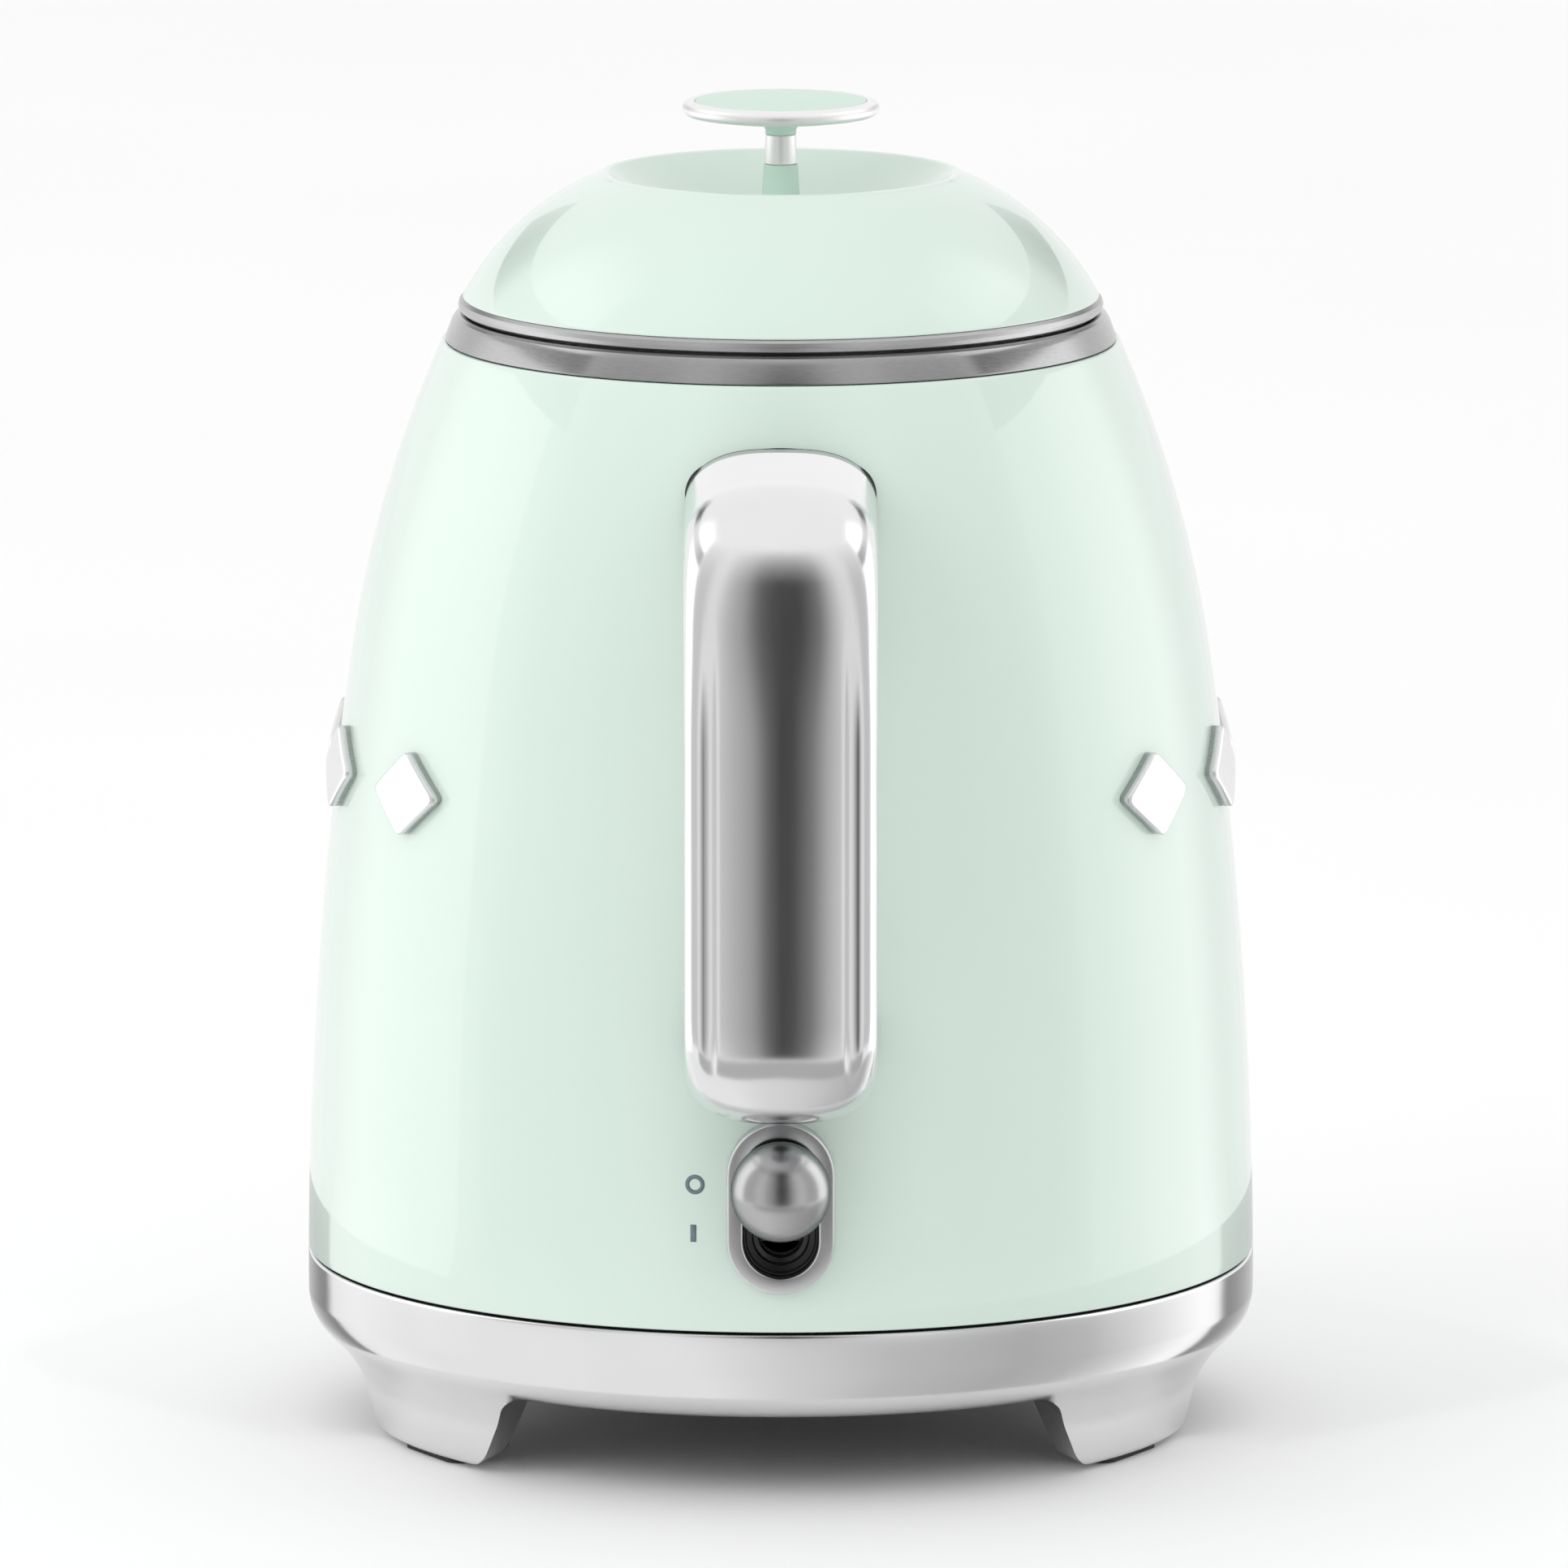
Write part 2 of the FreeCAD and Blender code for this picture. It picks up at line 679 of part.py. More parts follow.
def make_kettle_connector():
    """The round female half of the swivel coupling, open downwards."""
    low, roof, wall = "socket_bottom", "socket_roof", "tower_radius - tower_wall"
    node("kettle_connector", lathe("kettle_connector", [
        ("pin_radius + 0.9", low),
        (wall + " - 0.9", low),
        (wall + " - 0.9", roof),
        ("tower_radius + 0.4", roof),
        ("tower_radius + 0.4", low),
        ("socket_radius - 2", low),
        ("socket_radius - 2", low + " + 2.4"),
        ("socket_radius", low + " + 2.4"),
        ("socket_radius", "socket_top"),
        ("0", "socket_top"),
        ("0", roof),
        ("pin_radius + 0.9", roof),
    ]))


def make_contact_ring():
    """The loose earth ring round the socket, which the kettle turns about."""
    low, high = "socket_bottom - 1.2", "socket_bottom + 2.3"
    outline = ring("socket_radius - 1.95", "socket_radius - 0.2", low, high)
    node("contact_ring", lathe("contact_ring", outline))


def make_underbody_cover():
    """The plastic floor that closes the kettle, with a collar round the socket."""
    body = lathe("underbody_turned", [
        ("socket_radius + 0.6", "plate_top + 0.5"),
        ("base_radius - base_wall - 0.8", "plate_top + 0.5"),
        ("base_radius - base_wall - 0.8", "body_height"),
        ("body_radius - body_wall - 0.2", "body_height"),
        ("body_radius - body_wall - 0.2", "body_height + 3"),
        ("body_radius - body_wall - 1.8", "body_height + 3"),
        ("body_radius - body_wall - 2.4", "body_height + 0.2"),
        ("socket_radius + 2.2", "body_height + 0.2"),
        ("socket_radius + 2.2", "body_height + 5"),
        ("socket_radius + 0.6", "body_height + 5"),
    ])
    across, out, low = around("bracket_circle", BRACKET_ANGLES[0], "plate_top")
    for radius, depth in (("screw_radius + 0.15", "8"), ("screw_head + 0.2", "1.9")):
        sketch = new_sketch(body, "XY_Plane", low)
        add_circle(sketch, across, out, radius)
        repeat_round(body, pocket(body, sketch, depth, flip=True))
    node("underbody_cover", body)


def make_wall_brackets():
    """Three welded tabs inside the wall, which the underbody screws go up into."""
    tabs = []
    for angle in BRACKET_ANGLES:
        tab = new_body("bracket_tab")
        outer = "body_radius - body_wall - 0.15"
        revolve(tab, ring("bracket_circle - 4.5", outer, "bracket_height", "bracket_height + 1.6"), angle=10)
        swing(tab, angle - 90 - 5)
        place = around("bracket_circle", angle, "bracket_height - 1")
        hole = cylinder("bracket_hole", "screw_radius + 0.05", "4", place)
        tabs.append(boolean("Cut", "bracket", tab, hole))
    node("wall_brackets", combine("Compound", "wall_brackets", tabs))


def make_underbody_screws():
    low = "plate_top + 1.88"
    node("underbody_screws", screws("underbody_screws", "bracket_circle", low, "9.5", BRACKET_ANGLES, "1.2"))


def make_steam_tube():
    """The standpipe that leads steam down from above the water to the cut-out disc."""
    length = "steam_top - steam_bottom"
    tube = cylinder("steam_outer", "4", length, ("0", "-steam_y", "steam_bottom"))
    bore = cylinder("steam_bore", "3.2", length + " + 2", ("0", "-steam_y", "steam_bottom - 1"))
    node("steam_tube", boolean("Cut", "steam_tube", tube, bore))


def make_bimetal_disc():
    """The slightly domed disc that snaps over when steam reaches it."""
    dome = lathe("bimetal_dome", [
        ("0", "disc_height + 1"),
        ("1", "disc_height + 1", "4.8", "disc_height + 0.75"),
        ("8.5", "disc_height"),
        ("8.5", "disc_height - 0.4", "4.8", "disc_height + 0.35"),
        ("1", "disc_height + 0.6"),
        ("0", "disc_height + 0.6"),
    ])
    dome.setExpression("Placement.Base.y", bound("2 - steam_y"))
    node("bimetal_disc", combine("Compound", "bimetal_disc", [dome]))


# ---------------------------------------------------------------- handle


def grip_outer_half():
    """The chrome outer half of the grip's section: a crowned spine, a groove and a rounded strip each
    side, and a hollow behind them. Across the grip, then outwards from its centre line."""
    wide, spine, edge = "grip_half_width", "spine_half_width", "spine_edge"
    return [
        (wide, "-grip_seam"),
        (wide, "0", "grip_half_width - 0.85", "spine_edge - 2"),
        (spine, edge, "0", "grip_half_depth"),
        ("-" + spine, edge, "-grip_half_width + 0.85", "spine_edge - 2"),
        ("-" + wide, "0"),
        ("-" + wide, "-grip_seam"),
        ("-grip_half_width + grip_skin", "-grip_seam"),
        ("-grip_half_width + grip_skin", "0.6"),
        ("-spine_half_width + 0.9", "spine_edge - grip_skin", "0", "grip_half_depth - grip_skin"),
        ("spine_half_width - 0.9", "spine_edge - grip_skin"),
        ("grip_half_width - grip_skin", "0.6"),
        ("grip_half_width - grip_skin", "-grip_seam"),
    ]


def grip_inner_half():
    """The finger-side cover of the grip's section, which closes the outer half."""
    wide, deep = "grip_half_width", "grip_half_depth"
    seam = "-grip_seam - 0.1"
    inner = "grip_half_width - grip_skin"
    return [
        (wide, seam, "grip_half_width - 1.9", "-grip_half_depth + 2"),
        ("grip_half_width - 7", "-" + deep),
        ("-grip_half_width + 7", "-" + deep, "-grip_half_width + 1.9", "-grip_half_depth + 2"),
        ("-" + wide, seam),
        ("-(%s)" % inner, seam, "-grip_half_width + 3.2", "-grip_half_depth + 3.4"),
        ("-grip_half_width + 7.6", "-grip_half_depth + grip_skin"),
        ("grip_half_width - 7.6", "-grip_half_depth + grip_skin")
        + ("grip_half_width - 3.2", "-grip_half_depth + 3.4"),
        (inner, seam),
    ]


def grip_solid():
    """The whole section of the grip, with no hollow."""
    outer, inner = grip_outer_half(), grip_inner_half()
    crown = [
        outer[4][:2] + outer[3][2:],
        outer[3][:2] + outer[2][2:],
        outer[2][:2] + outer[1][2:],
        outer[1][:2],
    ]
    return inner[:3] + [inner[3][:2]] + crown


def sweep_grip(name, section):
    """Carry a section along the handle's path: out from the body, down the grip and back in."""
    body = new_body(name)
    profile = new_sketch(body, "XZ_Plane", "50")
    add_outline(profile, [shift_up(corner, "arm_top") for corner in section])
    path = new_sketch(body, "YZ_Plane")
    top_cut = "bend_top * (1 - sqrt(0.5))"
    bottom_cut = "bend_bottom * (1 - sqrt(0.5))"
    add_outline(path, [
        ("-50", "arm_top"),
        ("-grip_y + bend_top", "arm_top", "-grip_y + " + top_cut, "arm_top - " + top_cut),
        ("-grip_y", "arm_top - bend_top"),
        ("-grip_y", "arm_bottom + bend_bottom", "-grip_y + " + bottom_cut, "arm_bottom + " + bottom_cut),
        ("-grip_y + bend_bottom", "arm_bottom"),
        ("-64", "arm_bottom"),
    ], closed=False)
    doc.recompute()
    pipe = body.newObject("PartDesign::AdditivePipe", name + "_pipe")
    pipe.Profile = profile
    pipe.Spine = path
    doc.recompute()
    revolve(body, body_outline("gasket"), kind="Groove")
    return body


def shift_up(corner, rise):
    """Raise an outline's corner, and the point its arc passes through, by an amount."""
    return tuple(text if index % 2 == 0 else "%s + (%s)" % (rise, text) for index, text in enumerate(corner))


def make_handle():
    node("handle_outer", sweep_grip("handle_outer", grip_outer_half()))
    node("handle_inner", sweep_grip("handle_inner", grip_inner_half()))


def root_blocks(name, section, near, far):
    """Straight blocks of a section at the handle's two roots."""
    blocks = []
    for height in ("arm_top", "arm_bottom"):
        flipped = [turn_over(corner) for corner in section] if height == "arm_bottom" else section
        block = new_body(name)
        outline = [shift_up(corner, height) for corner in flipped]
        pad(block, "XZ_Plane", outline, "(%s) - (%s)" % (far, near), near)
        blocks.append(block)
    return blocks


def turn_over(corner):
    return tuple(text if index % 2 == 0 else "-(%s)" % text for index, text in enumerate(corner))


def wall_radius(height):
    """The kettle's outer radius at a height, on the arc that its profile follows there."""
    words = ("waist", "shoulder", "neck") if height > value("waist_height") else ("body", "belly", "waist")
    spots = [(word + "_radius", word + "_height") for word in words]
    points = [FreeCAD.Vector(value(across), value(up), 0) for across, up in spots]
    circle = Part.Arc(*points).toShape().Curve
    rise = height - circle.Center.y
    return circle.Center.x + math.sqrt(circle.Radius ** 2 - rise ** 2)


def stud_places():
    """Where each of the handle's four studs leaves the wall: across, outwards and up."""
    for name in ("arm_top", "arm_bottom"):
        height = value(name)
        face = "-%.3f" % (wall_radius(height - value("stud_radius")) + 0.03)
        for side in ("", "-"):
            yield side + "stud_offset", face, name


def make_handle_gaskets():
    """Thin gaskets between the handle's roots and the painted body."""
    skin = lathe("gasket_skin", body_skin("0.03", "gasket - 0.03"))
    roots = combine("Compound", "gasket_roots", root_blocks("gasket_root", grip_solid(), "50", "90"))
    whole = boolean("Common", "gasket_pair", skin, roots)
    holes = [
        cylinder("gasket_hole", "stud_radius + 0.2", "8", (across, face + " + 4", up), (1, 0, 0), 90)
        for across, face, up in stud_places()
    ]
    cuts = combine("MultiFuse", "gasket_holes", holes)
    node("handle_gaskets", boolean("Cut", "handle_gaskets", whole, cuts))


def make_handle_fixings():
    """Studs welded to the wall, an end plate inside each root and the nuts that pull it in."""
    studs, nuts, holes = [], [], []
    for across, face, up in stud_places():
        hole_place = (across, face + " - 3", up)
        studs.append(cylinder("stud", "stud_radius", "11", (across, face, up), (1, 0, 0), 90))
        holes.append(cylinder("plate_hole", "stud_radius + 0.1", "6", hole_place, (1, 0, 0), 90))
        sizes = {"Circumradius": "3.2", "Height": "2.4"}
        nut = primitive("Prism", "nut_blank", sizes, (across, face + " - 6.6", up), (1, 0, 0), 90)
        nut.Polygon = 6
        bore = cylinder("nut_bore", "stud_radius + 0.03", "5", (across, face + " - 5", up), (1, 0, 0), 90)
        nuts.append(boolean("Cut", "nut", nut, bore))
    plates = [
        box("end_plate_blank", ("19", "2", "6.6"), ("-9.5", face + " - 6.5", "%s - 3.3" % up))
        for across, face, up in stud_places() if across == "stud_offset"
    ]
    pair = combine("Compound", "end_plate_pair", plates)
    drilled = boolean("Cut", "end_plates", pair, combine("MultiFuse", "plate_holes", holes))
    node("handle_studs", combine("Compound", "handle_studs", studs))
    node("handle_end_plates", combine("Compound", "handle_end_plates", [drilled]))
    node("handle_nuts", combine("Compound", "handle_nuts", nuts))


# ---------------------------------------------------------------- switch


def make_switch_bezel():
    """A bevelled upright ring round the lever's slot."""
    body = new_body("switch_bezel_pad")
    front = "body_radius + bezel_proud"
    outline = stadium("bezel_half_width", "bezel_half_height", "switch_height")
    pad(body, "XZ_Plane", outline, "bezel_proud + 3.1", "body_radius - 4")
    bevel_sketches = []
    for depth, shrink in (("0.9", "0"), ("0", "0.9")):
        sketch = new_sketch(body, "XZ_Plane", "%s - %s" % (front, depth))
        half_width, half_height = "bezel_half_width - %s" % shrink, "bezel_half_height - %s" % shrink
        add_outline(sketch, stadium(half_width, half_height, "switch_height"))
        bevel_sketches.append(sketch)
    bevel = body.newObject("PartDesign::AdditiveLoft", "bezel_bevel")
    bevel.Profile = bevel_sketches[0]
    bevel.Sections = bevel_sketches[1:]
    bevel.Ruled = True
    doc.recompute()
    inside = new_sketch(body, "XZ_Plane", "body_radius - 6")
    add_outline(inside, stadium("slot_half_width", "slot_half_height", "switch_height"))
    pocket(body, inside, "20", flip=True)
    revolve(body, body_outline("0.02"), kind="Groove")
    node("switch_bezel", body)


def make_switch_well():
    """The dark stepped cup behind the bezel, open in the middle for the lever."""
    body = new_body("switch_well_stepped")
    back = "body_radius - 1.6 - well_depth"
    outline = stadium("slot_half_width + 0.8", "slot_half_height + 0.8", "switch_height")
    pad(body, "XZ_Plane", outline, "well_depth + 0.6", back)
    steps = (("-0.2", "0.6", "4.6"), ("0.7", "1.9", "3.2"), ("1.6", "2.6", "2.0"), ("2.5", "3.4", "-1"))
    for shrink, shrink_up, floor in steps:
        sketch = new_sketch(body, "XZ_Plane", "%s + %s" % (back, floor))
        half_width, half_height = "(slot_half_width - (%s))" % shrink, "(slot_half_height - (%s))" % shrink_up
        add_outline(sketch, stadium(half_width, half_height, "switch_height"))
        pocket(body, sketch, "12", flip=True)
    keep = lathe("well_keep", body_outline("0"))
    node("switch_well", boolean("Common", "switch_well", body, keep))


def make_switch_housing():
    """The frame behind the well that carries the lever's pin."""
    back = "-(body_radius - 1.6 - well_depth) + 0.02"
    low = "switch_height - 10"
    cheeks = [box("housing_cheek", ("2", "14", "20"), (place, back, low)) for place in ("-9.6", "7.6")]
    bridge = box("housing_bridge", ("19.2", "2", "4"), ("-9.6", back + " + 12", low + " + 1"))
    frame = combine("MultiFuse", "housing_frame", cheeks + [bridge])
    place = ("-12", "-lever_pivot", "switch_height")
    bore = cylinder("housing_bore", "pivot_radius + 0.02", "24", place, (0, 1, 0), 90)
    node("switch_housing", boolean("Cut", "switch_housing", frame, bore))


def make_switch_pivot():
    place = ("-9.6", "-lever_pivot", "switch_height")
    pin = cylinder("pivot_pin", "pivot_radius", "19.2", place, (0, 1, 0), 90)
    node("switch_pivot", combine("Compound", "switch_pivot", [pin]))


def lever_point(reach):
    """Where a distance along the lever from its pin is, with the lever up in its off position."""
    return "-lever_pivot - (%s) * cos(lever_angle)" % reach, "switch_height + (%s) * sin(lever_angle)" % reach


def make_switch_lever():
    """A hub on the pin, a stem out to the ball and a short tail that works the trip lever."""
    across, up = lever_point("0")
    hub = cylinder("lever_hub", "3.6", "13", ("-6.5", across, up), (0, 1, 0), 90)
    length = "lever_reach - ball_radius + 0.9"
    lean = 90 - SIZES["lever_angle"]
    stem = cylinder("lever_stem", "2.1", length, ("0", across, up), (1, 0, 0), lean)
    tail = box("lever_tail", ("5", "6.4", "2"), ("-2.5", across, "%s - 1" % up))
    solid = combine("MultiFuse", "lever_solid", [hub, stem, tail])
    bore = cylinder("lever_bore", "pivot_radius + 0.04", "16", ("-8", across, up), (0, 1, 0), 90)
    cuts = combine("MultiFuse", "lever_cuts", [bore, ball_blank("lever_ball_room")])
    node("switch_lever", boolean("Cut", "switch_lever", solid, cuts))


def ball_blank(name):
    return primitive("Sphere", name, {"Radius": "ball_radius"}, ("0",) + lever_point("lever_reach"))


def make_switch_ball():
    ball = ball_blank("ball")
    node("switch_ball", combine("Compound", "switch_ball", [ball]))


def make_trip_lever():
    """The rocker between the switch's tail and the thermostat block, on its own hub."""
    hub = cylinder("trip_hub", "2.4", "8", ("-4", "-trip_pivot", "trip_height"), (0, 1, 0), 90)
    arm = box("trip_arm", ("4", "25.5", "1.6"), ("-2", "-trip_pivot - 14.5", "trip_height - 0.8"))
    bore = cylinder("trip_bore", "1.04", "10", ("-5", "-trip_pivot", "trip_height"), (0, 1, 0), 90)
    whole = combine("MultiFuse", "trip_solid", [hub, arm])
    node("trip_lever", boolean("Cut", "trip_lever", whole, bore))


def make_trip_bracket():
    """Two ears and a pin on an arm from the thermostat block, which the trip lever rocks on."""
    low, start = "trip_height - 6.4", "-trip_pivot - 3"
    ears = [box("trip_ear", ("1.6", "6", "9"), (place, start, low)) for place in ("-6.2", "4.6")]
    reach = box("trip_reach", ("12.4", "trip_pivot + 3 - 15.02", "1.6"), ("-6.2", start, low))
    pin = cylinder("trip_pin", "1", "12.4", ("-6.2", "-trip_pivot", "trip_height"), (0, 1, 0), 90)
    node("trip_bracket", combine("MultiFuse", "trip_bracket", ears + [reach, pin]))


# ---------------------------------------------------------------- ornaments and filter


def lozenge(half_width, half_height, corner, height):
    """A diamond outline with rounded corners, centred at a height on the sketch's vertical axis."""
    share = "(%s / %s)" % (corner, half_width)
    inset_x = "(%s * (1 - %s))" % (half_width, share)
    inset_y = "(%s * (1 - %s))" % (half_height, share)
    near_x = "(%s * %s)" % (half_width, share)
    near_y = "(%s * %s)" % (half_height, share)
    tip_x, tip_y = "(%s - %s * 0.35)" % (half_width, corner), "(%s - %s * 0.2)" % (half_height, corner)
    spots = [
        (inset_x, "-" + near_y, tip_x, "0"), (inset_x, near_y),
        (near_x, inset_y, "0", tip_y), ("-" + near_x, inset_y),
        ("-" + inset_x, near_y, "-" + tip_x, "0"), ("-" + inset_x, "-" + near_y),
        ("-" + near_x, "-" + inset_y, "0", "-" + tip_y), (near_x, "-" + inset_y),
    ]
    return [shift_up(spot, height) for spot in spots]


def badge_row(name, middle):
    """Plain rounded lozenges that stand out of the body's side, in a level row."""
    blanks = []
    step = math.degrees(value("badge_pitch / belly_radius"))
    for count in BADGE_STEPS:
        blank = new_body(name + "_blank")
        outline = lozenge("badge_half_width", "badge_half_height", "badge_corner", "badge_height")
        pad(blank, "XZ_Plane", outline, "20", "waist_radius - 8")
        blanks.append(swing(combine("Compound", name + "_set", [blank]), middle + step * count))
    skin = lathe(name + "_skin", body_skin("0.02", "badge_proud"))
    return boolean("Common", name, skin, combine("Compound", name + "_blanks", blanks))


def make_badges():
    node("right_badges", badge_row("right_badges", 90))
    node("left_badges", badge_row("left_badges", 270))


def tilted_piece(name, outline, opening, thick, offset):
    """A flat piece behind the spout that leans with the wall."""
    body = new_body(name + "_flat")
    pad(body, "XZ_Plane", outline, thick, offset)
    if opening:
        sketch = new_sketch(body, "XZ_Plane", "%s - 1" % offset)
        add_outline(sketch, opening)
        pocket(body, sketch, "8", flip=True)
    lean = combine("Compound", name + "_lean", [body])
    turn = FreeCAD.Rotation(FreeCAD.Vector(1, 0, 0), SIZES["filter_tilt"])
    lean.Placement = FreeCAD.Placement(FreeCAD.Vector(0, 0, 0), turn)
    lean.setExpression("Placement.Base.y", bound("filter_y"))
    lean.setExpression("Placement.Base.z", bound("filter_low"))
    node(name, combine("Compound", name, [lean]))


def make_filter():
    """The removable limescale filter: a frame and its fine mesh."""
    def inset(amount):
        half, top = "filter_half_width - %s" % amount, "filter_height - %s" % amount
        return [("-(%s)" % half, amount), (half, amount), (half, top), ("-(%s)" % half, top)]

    tilted_piece("filter_frame", inset("0"), inset("2.4"), "filter_thick", "0")
    tilted_piece("filter_mesh", inset("2.42"), None, "0.4", "filter_thick / 2 - 0.2")


# ---------------------------------------------------------------- lid


def make_lid_dome():
    """The painted dome with its rolled lip and dished top, and three screw bosses inside."""
    dome = lathe("lid_dome_turned", [
        ("lid_radius", "lid_bottom", "crown_radius", "crown_height"),
        ("lip_radius + 1", "lip_height - 0.45", "lip_radius", "lip_height"),
        ("lip_radius - 1", "lip_height - 0.5", "lip_radius * 0.52", "dish_bottom + 2.6"),
        ("post_radius + 1", "dish_bottom + 0.15"),
        ("knob_bolt + 0.1", "dish_bottom + 0.15"),
        ("knob_bolt + 0.1", "dish_bottom - 1.1"),
        ("post_radius + 1.2", "dish_bottom - 1.1", "lip_radius * 0.52", "dish_bottom + 1.3"),
        ("lip_radius - 1.2", "lip_height - 2.2"),
        ("lip_radius + 0.4", "lip_height - 1.9", "crown_radius - 0.9", "crown_height - 0.95"),
        ("lid_radius - 1.2", "lid_bottom"),
    ])
    floor, radius = "neck_height - 1.75", "screw_radius + 0.05"
    length = "lip_height - 2.6 - (%s)" % floor
    bosses = drills("lid_boss", "lid_screw_circle", LID_SCREW_ANGLES, "lid_boss_radius", floor, length)
    bores = drills("lid_bore", "lid_screw_circle", LID_SCREW_ANGLES, radius, "neck_height - 3", "17")
    whole = combine("MultiFuse", "lid_dome_bossed", [dome] + bosses)
    node("lid_dome", boolean("Cut", "lid_dome", whole, combine("MultiFuse", "lid_bores", bores)))


def make_lid_trim_ring():
    node("lid_trim_ring", lathe("lid_trim_ring", [
        ("bead_radius - 3.2", "bead_bottom"),
        ("bead_radius - 0.8", "bead_bottom", "bead_radius", "bead_bottom + 1.15"),
        ("bead_radius - 0.8", "lid_bottom - 0.02"),
        ("bead_radius - 3.2", "lid_bottom - 0.02"),
    ]))


def make_lid_insert():
    """The steel underside of the lid, with a plug that centres in the kettle's mouth."""
    dish = lathe("lid_insert_turned", [
        ("0", "neck_height - 2.8"),
        ("mouth_radius - 3", "neck_height - 2.8"),
        ("mouth_radius - 1.4", "neck_height - 1.2"),
        ("mouth_radius - 1.4", "neck_height - 0.2"),
        ("mouth_radius - 2.2", "neck_height - 0.2"),
        ("mouth_radius - 2.2", "neck_height + 2"),
        ("mouth_radius - 1.4", "neck_height + 2"),
        ("mouth_radius - 1.4", "bead_bottom - 0.02"),
        ("bead_radius - 3.25", "bead_bottom - 0.02"),
        ("bead_radius - 3.25", "lid_bottom + 0.6"),
        ("bead_radius - 4.4", "lid_bottom + 0.6"),
        ("bead_radius - 4.4", "neck_height - 0.6"),
        ("mouth_radius - 4", "neck_height - 1.8"),
        ("0", "neck_height - 1.8"),
    ])
    radius = "screw_radius + 0.15"
    holes = drills("insert_hole", "lid_screw_circle", LID_SCREW_ANGLES, radius, "neck_height - 4", "4")
    node("lid_insert", boolean("Cut", "lid_insert", dish, combine("MultiFuse", "insert_holes", holes)))


def make_lid_seal():
    node("lid_seal", lathe("lid_seal", [
        ("mouth_radius - 2.15", "neck_height - 0.15"),
        ("mouth_radius - 1", "neck_height - 0.15", "mouth_radius - 0.35", "neck_height + 0.9"),
        ("mouth_radius - 1", "neck_height + 1.95"),
        ("mouth_radius - 2.15", "neck_height + 1.95"),
    ]))


def make_lid_screws():
    """Three screws that hold the underside to bosses inside the dome."""
    low = "neck_height - 2.8"
    node("lid_screws", screws("lid_screws", "lid_screw_circle", low, "14", LID_SCREW_ANGLES))


def make_knob_post():
    node("knob_post", lathe("knob_post", [
        ("knob_bolt + 0.1", "dish_bottom + 0.2"),
        ("post_radius + 0.9", "dish_bottom + 0.2", "post_radius + 0.15", "dish_bottom + 0.9"),
        ("post_radius", "dish_bottom + 2.4"),
        ("post_radius - 0.5", "post_top"),
        ("knob_bolt + 0.1", "post_top"),
    ]))


def make_knob_sleeve():
    node("knob_sleeve", lathe("knob_sleeve", [
        ("knob_bolt + 0.1", "post_top + 0.02"),
        ("sleeve_radius", "post_top + 0.02"),
        ("sleeve_radius - 0.2", "sleeve_top"),
        ("knob_bolt + 0.1", "sleeve_top"),
    ]))


def make_knob_neck():
    node("knob_neck", lathe("knob_neck", [
        ("knob_bolt + 0.1", "sleeve_top + 0.02"),
        ("sleeve_radius - 0.15", "sleeve_top + 0.02", "sleeve_radius - 0.05", "knob_bottom - 0.8"),
        ("sleeve_radius + 1.2", "knob_bottom"),
        ("knob_bolt + 0.1", "knob_bottom"),
    ]))


def make_knob_disc():
    node("knob_disc", lathe("knob_disc", [
        ("knob_bolt + 0.1", "knob_bottom + 0.02"),
        ("knob_radius * 0.55", "knob_bottom + 0.25"),
        ("knob_radius - 1.5", "knob_bottom + 1.1", "knob_radius", "knob_bottom + 2.4"),
        ("knob_radius - 1.2", "knob_top - 0.3"),
        ("inlay_radius + 0.05", "knob_top - 0.2"),
        ("inlay_radius + 0.05", "knob_top - 1.2"),
        ("knob_bolt + 0.1", "knob_top - 1.2"),
    ]))


def make_knob_inlay():
    node("knob_inlay", lathe("knob_inlay", [
        ("0", "knob_top - 1.15"),
        ("inlay_radius", "knob_top - 1.15"),
        ("inlay_radius", "knob_top - 0.25", "inlay_radius * 0.6", "knob_top - 0.08"),
        ("1", "knob_top"),
        ("0", "knob_top"),
    ]))


def make_knob_screw():
    """The long screw up through the dish, the post and the sleeve into the knob."""
    node("knob_screw", lathe("knob_screw", [
        ("0", "dish_bottom - 3"),
        ("3", "dish_bottom - 3"),
        ("3", "dish_bottom - 1.15"),
        ("knob_bolt", "dish_bottom - 1.15"),
        ("knob_bolt", "knob_top - 1.25"),
        ("0", "knob_top - 1.25"),
    ]))


def check_and_write():
    doc.recompute()
    for item in doc.Objects:
        if "Invalid" in item.State or "Error" in item.State:
            raise RuntimeError("%s did not compute: %s" % (item.Label, item.State))
    os.makedirs("parts", exist_ok=True)
    for piece in nodes:
        if piece.Shape.isNull() or not piece.Shape.isValid() or not piece.Shape.Solids:
            raise RuntimeError("%s has no valid solid" % piece.Label)
    for piece in nodes:
        piece.Shape.exportStep("parts/%s.step" % piece.Label)
        print("%-20s %2d solids %10.1f mm3" % (piece.Label, len(piece.Shape.Solids), piece.Shape.Volume))


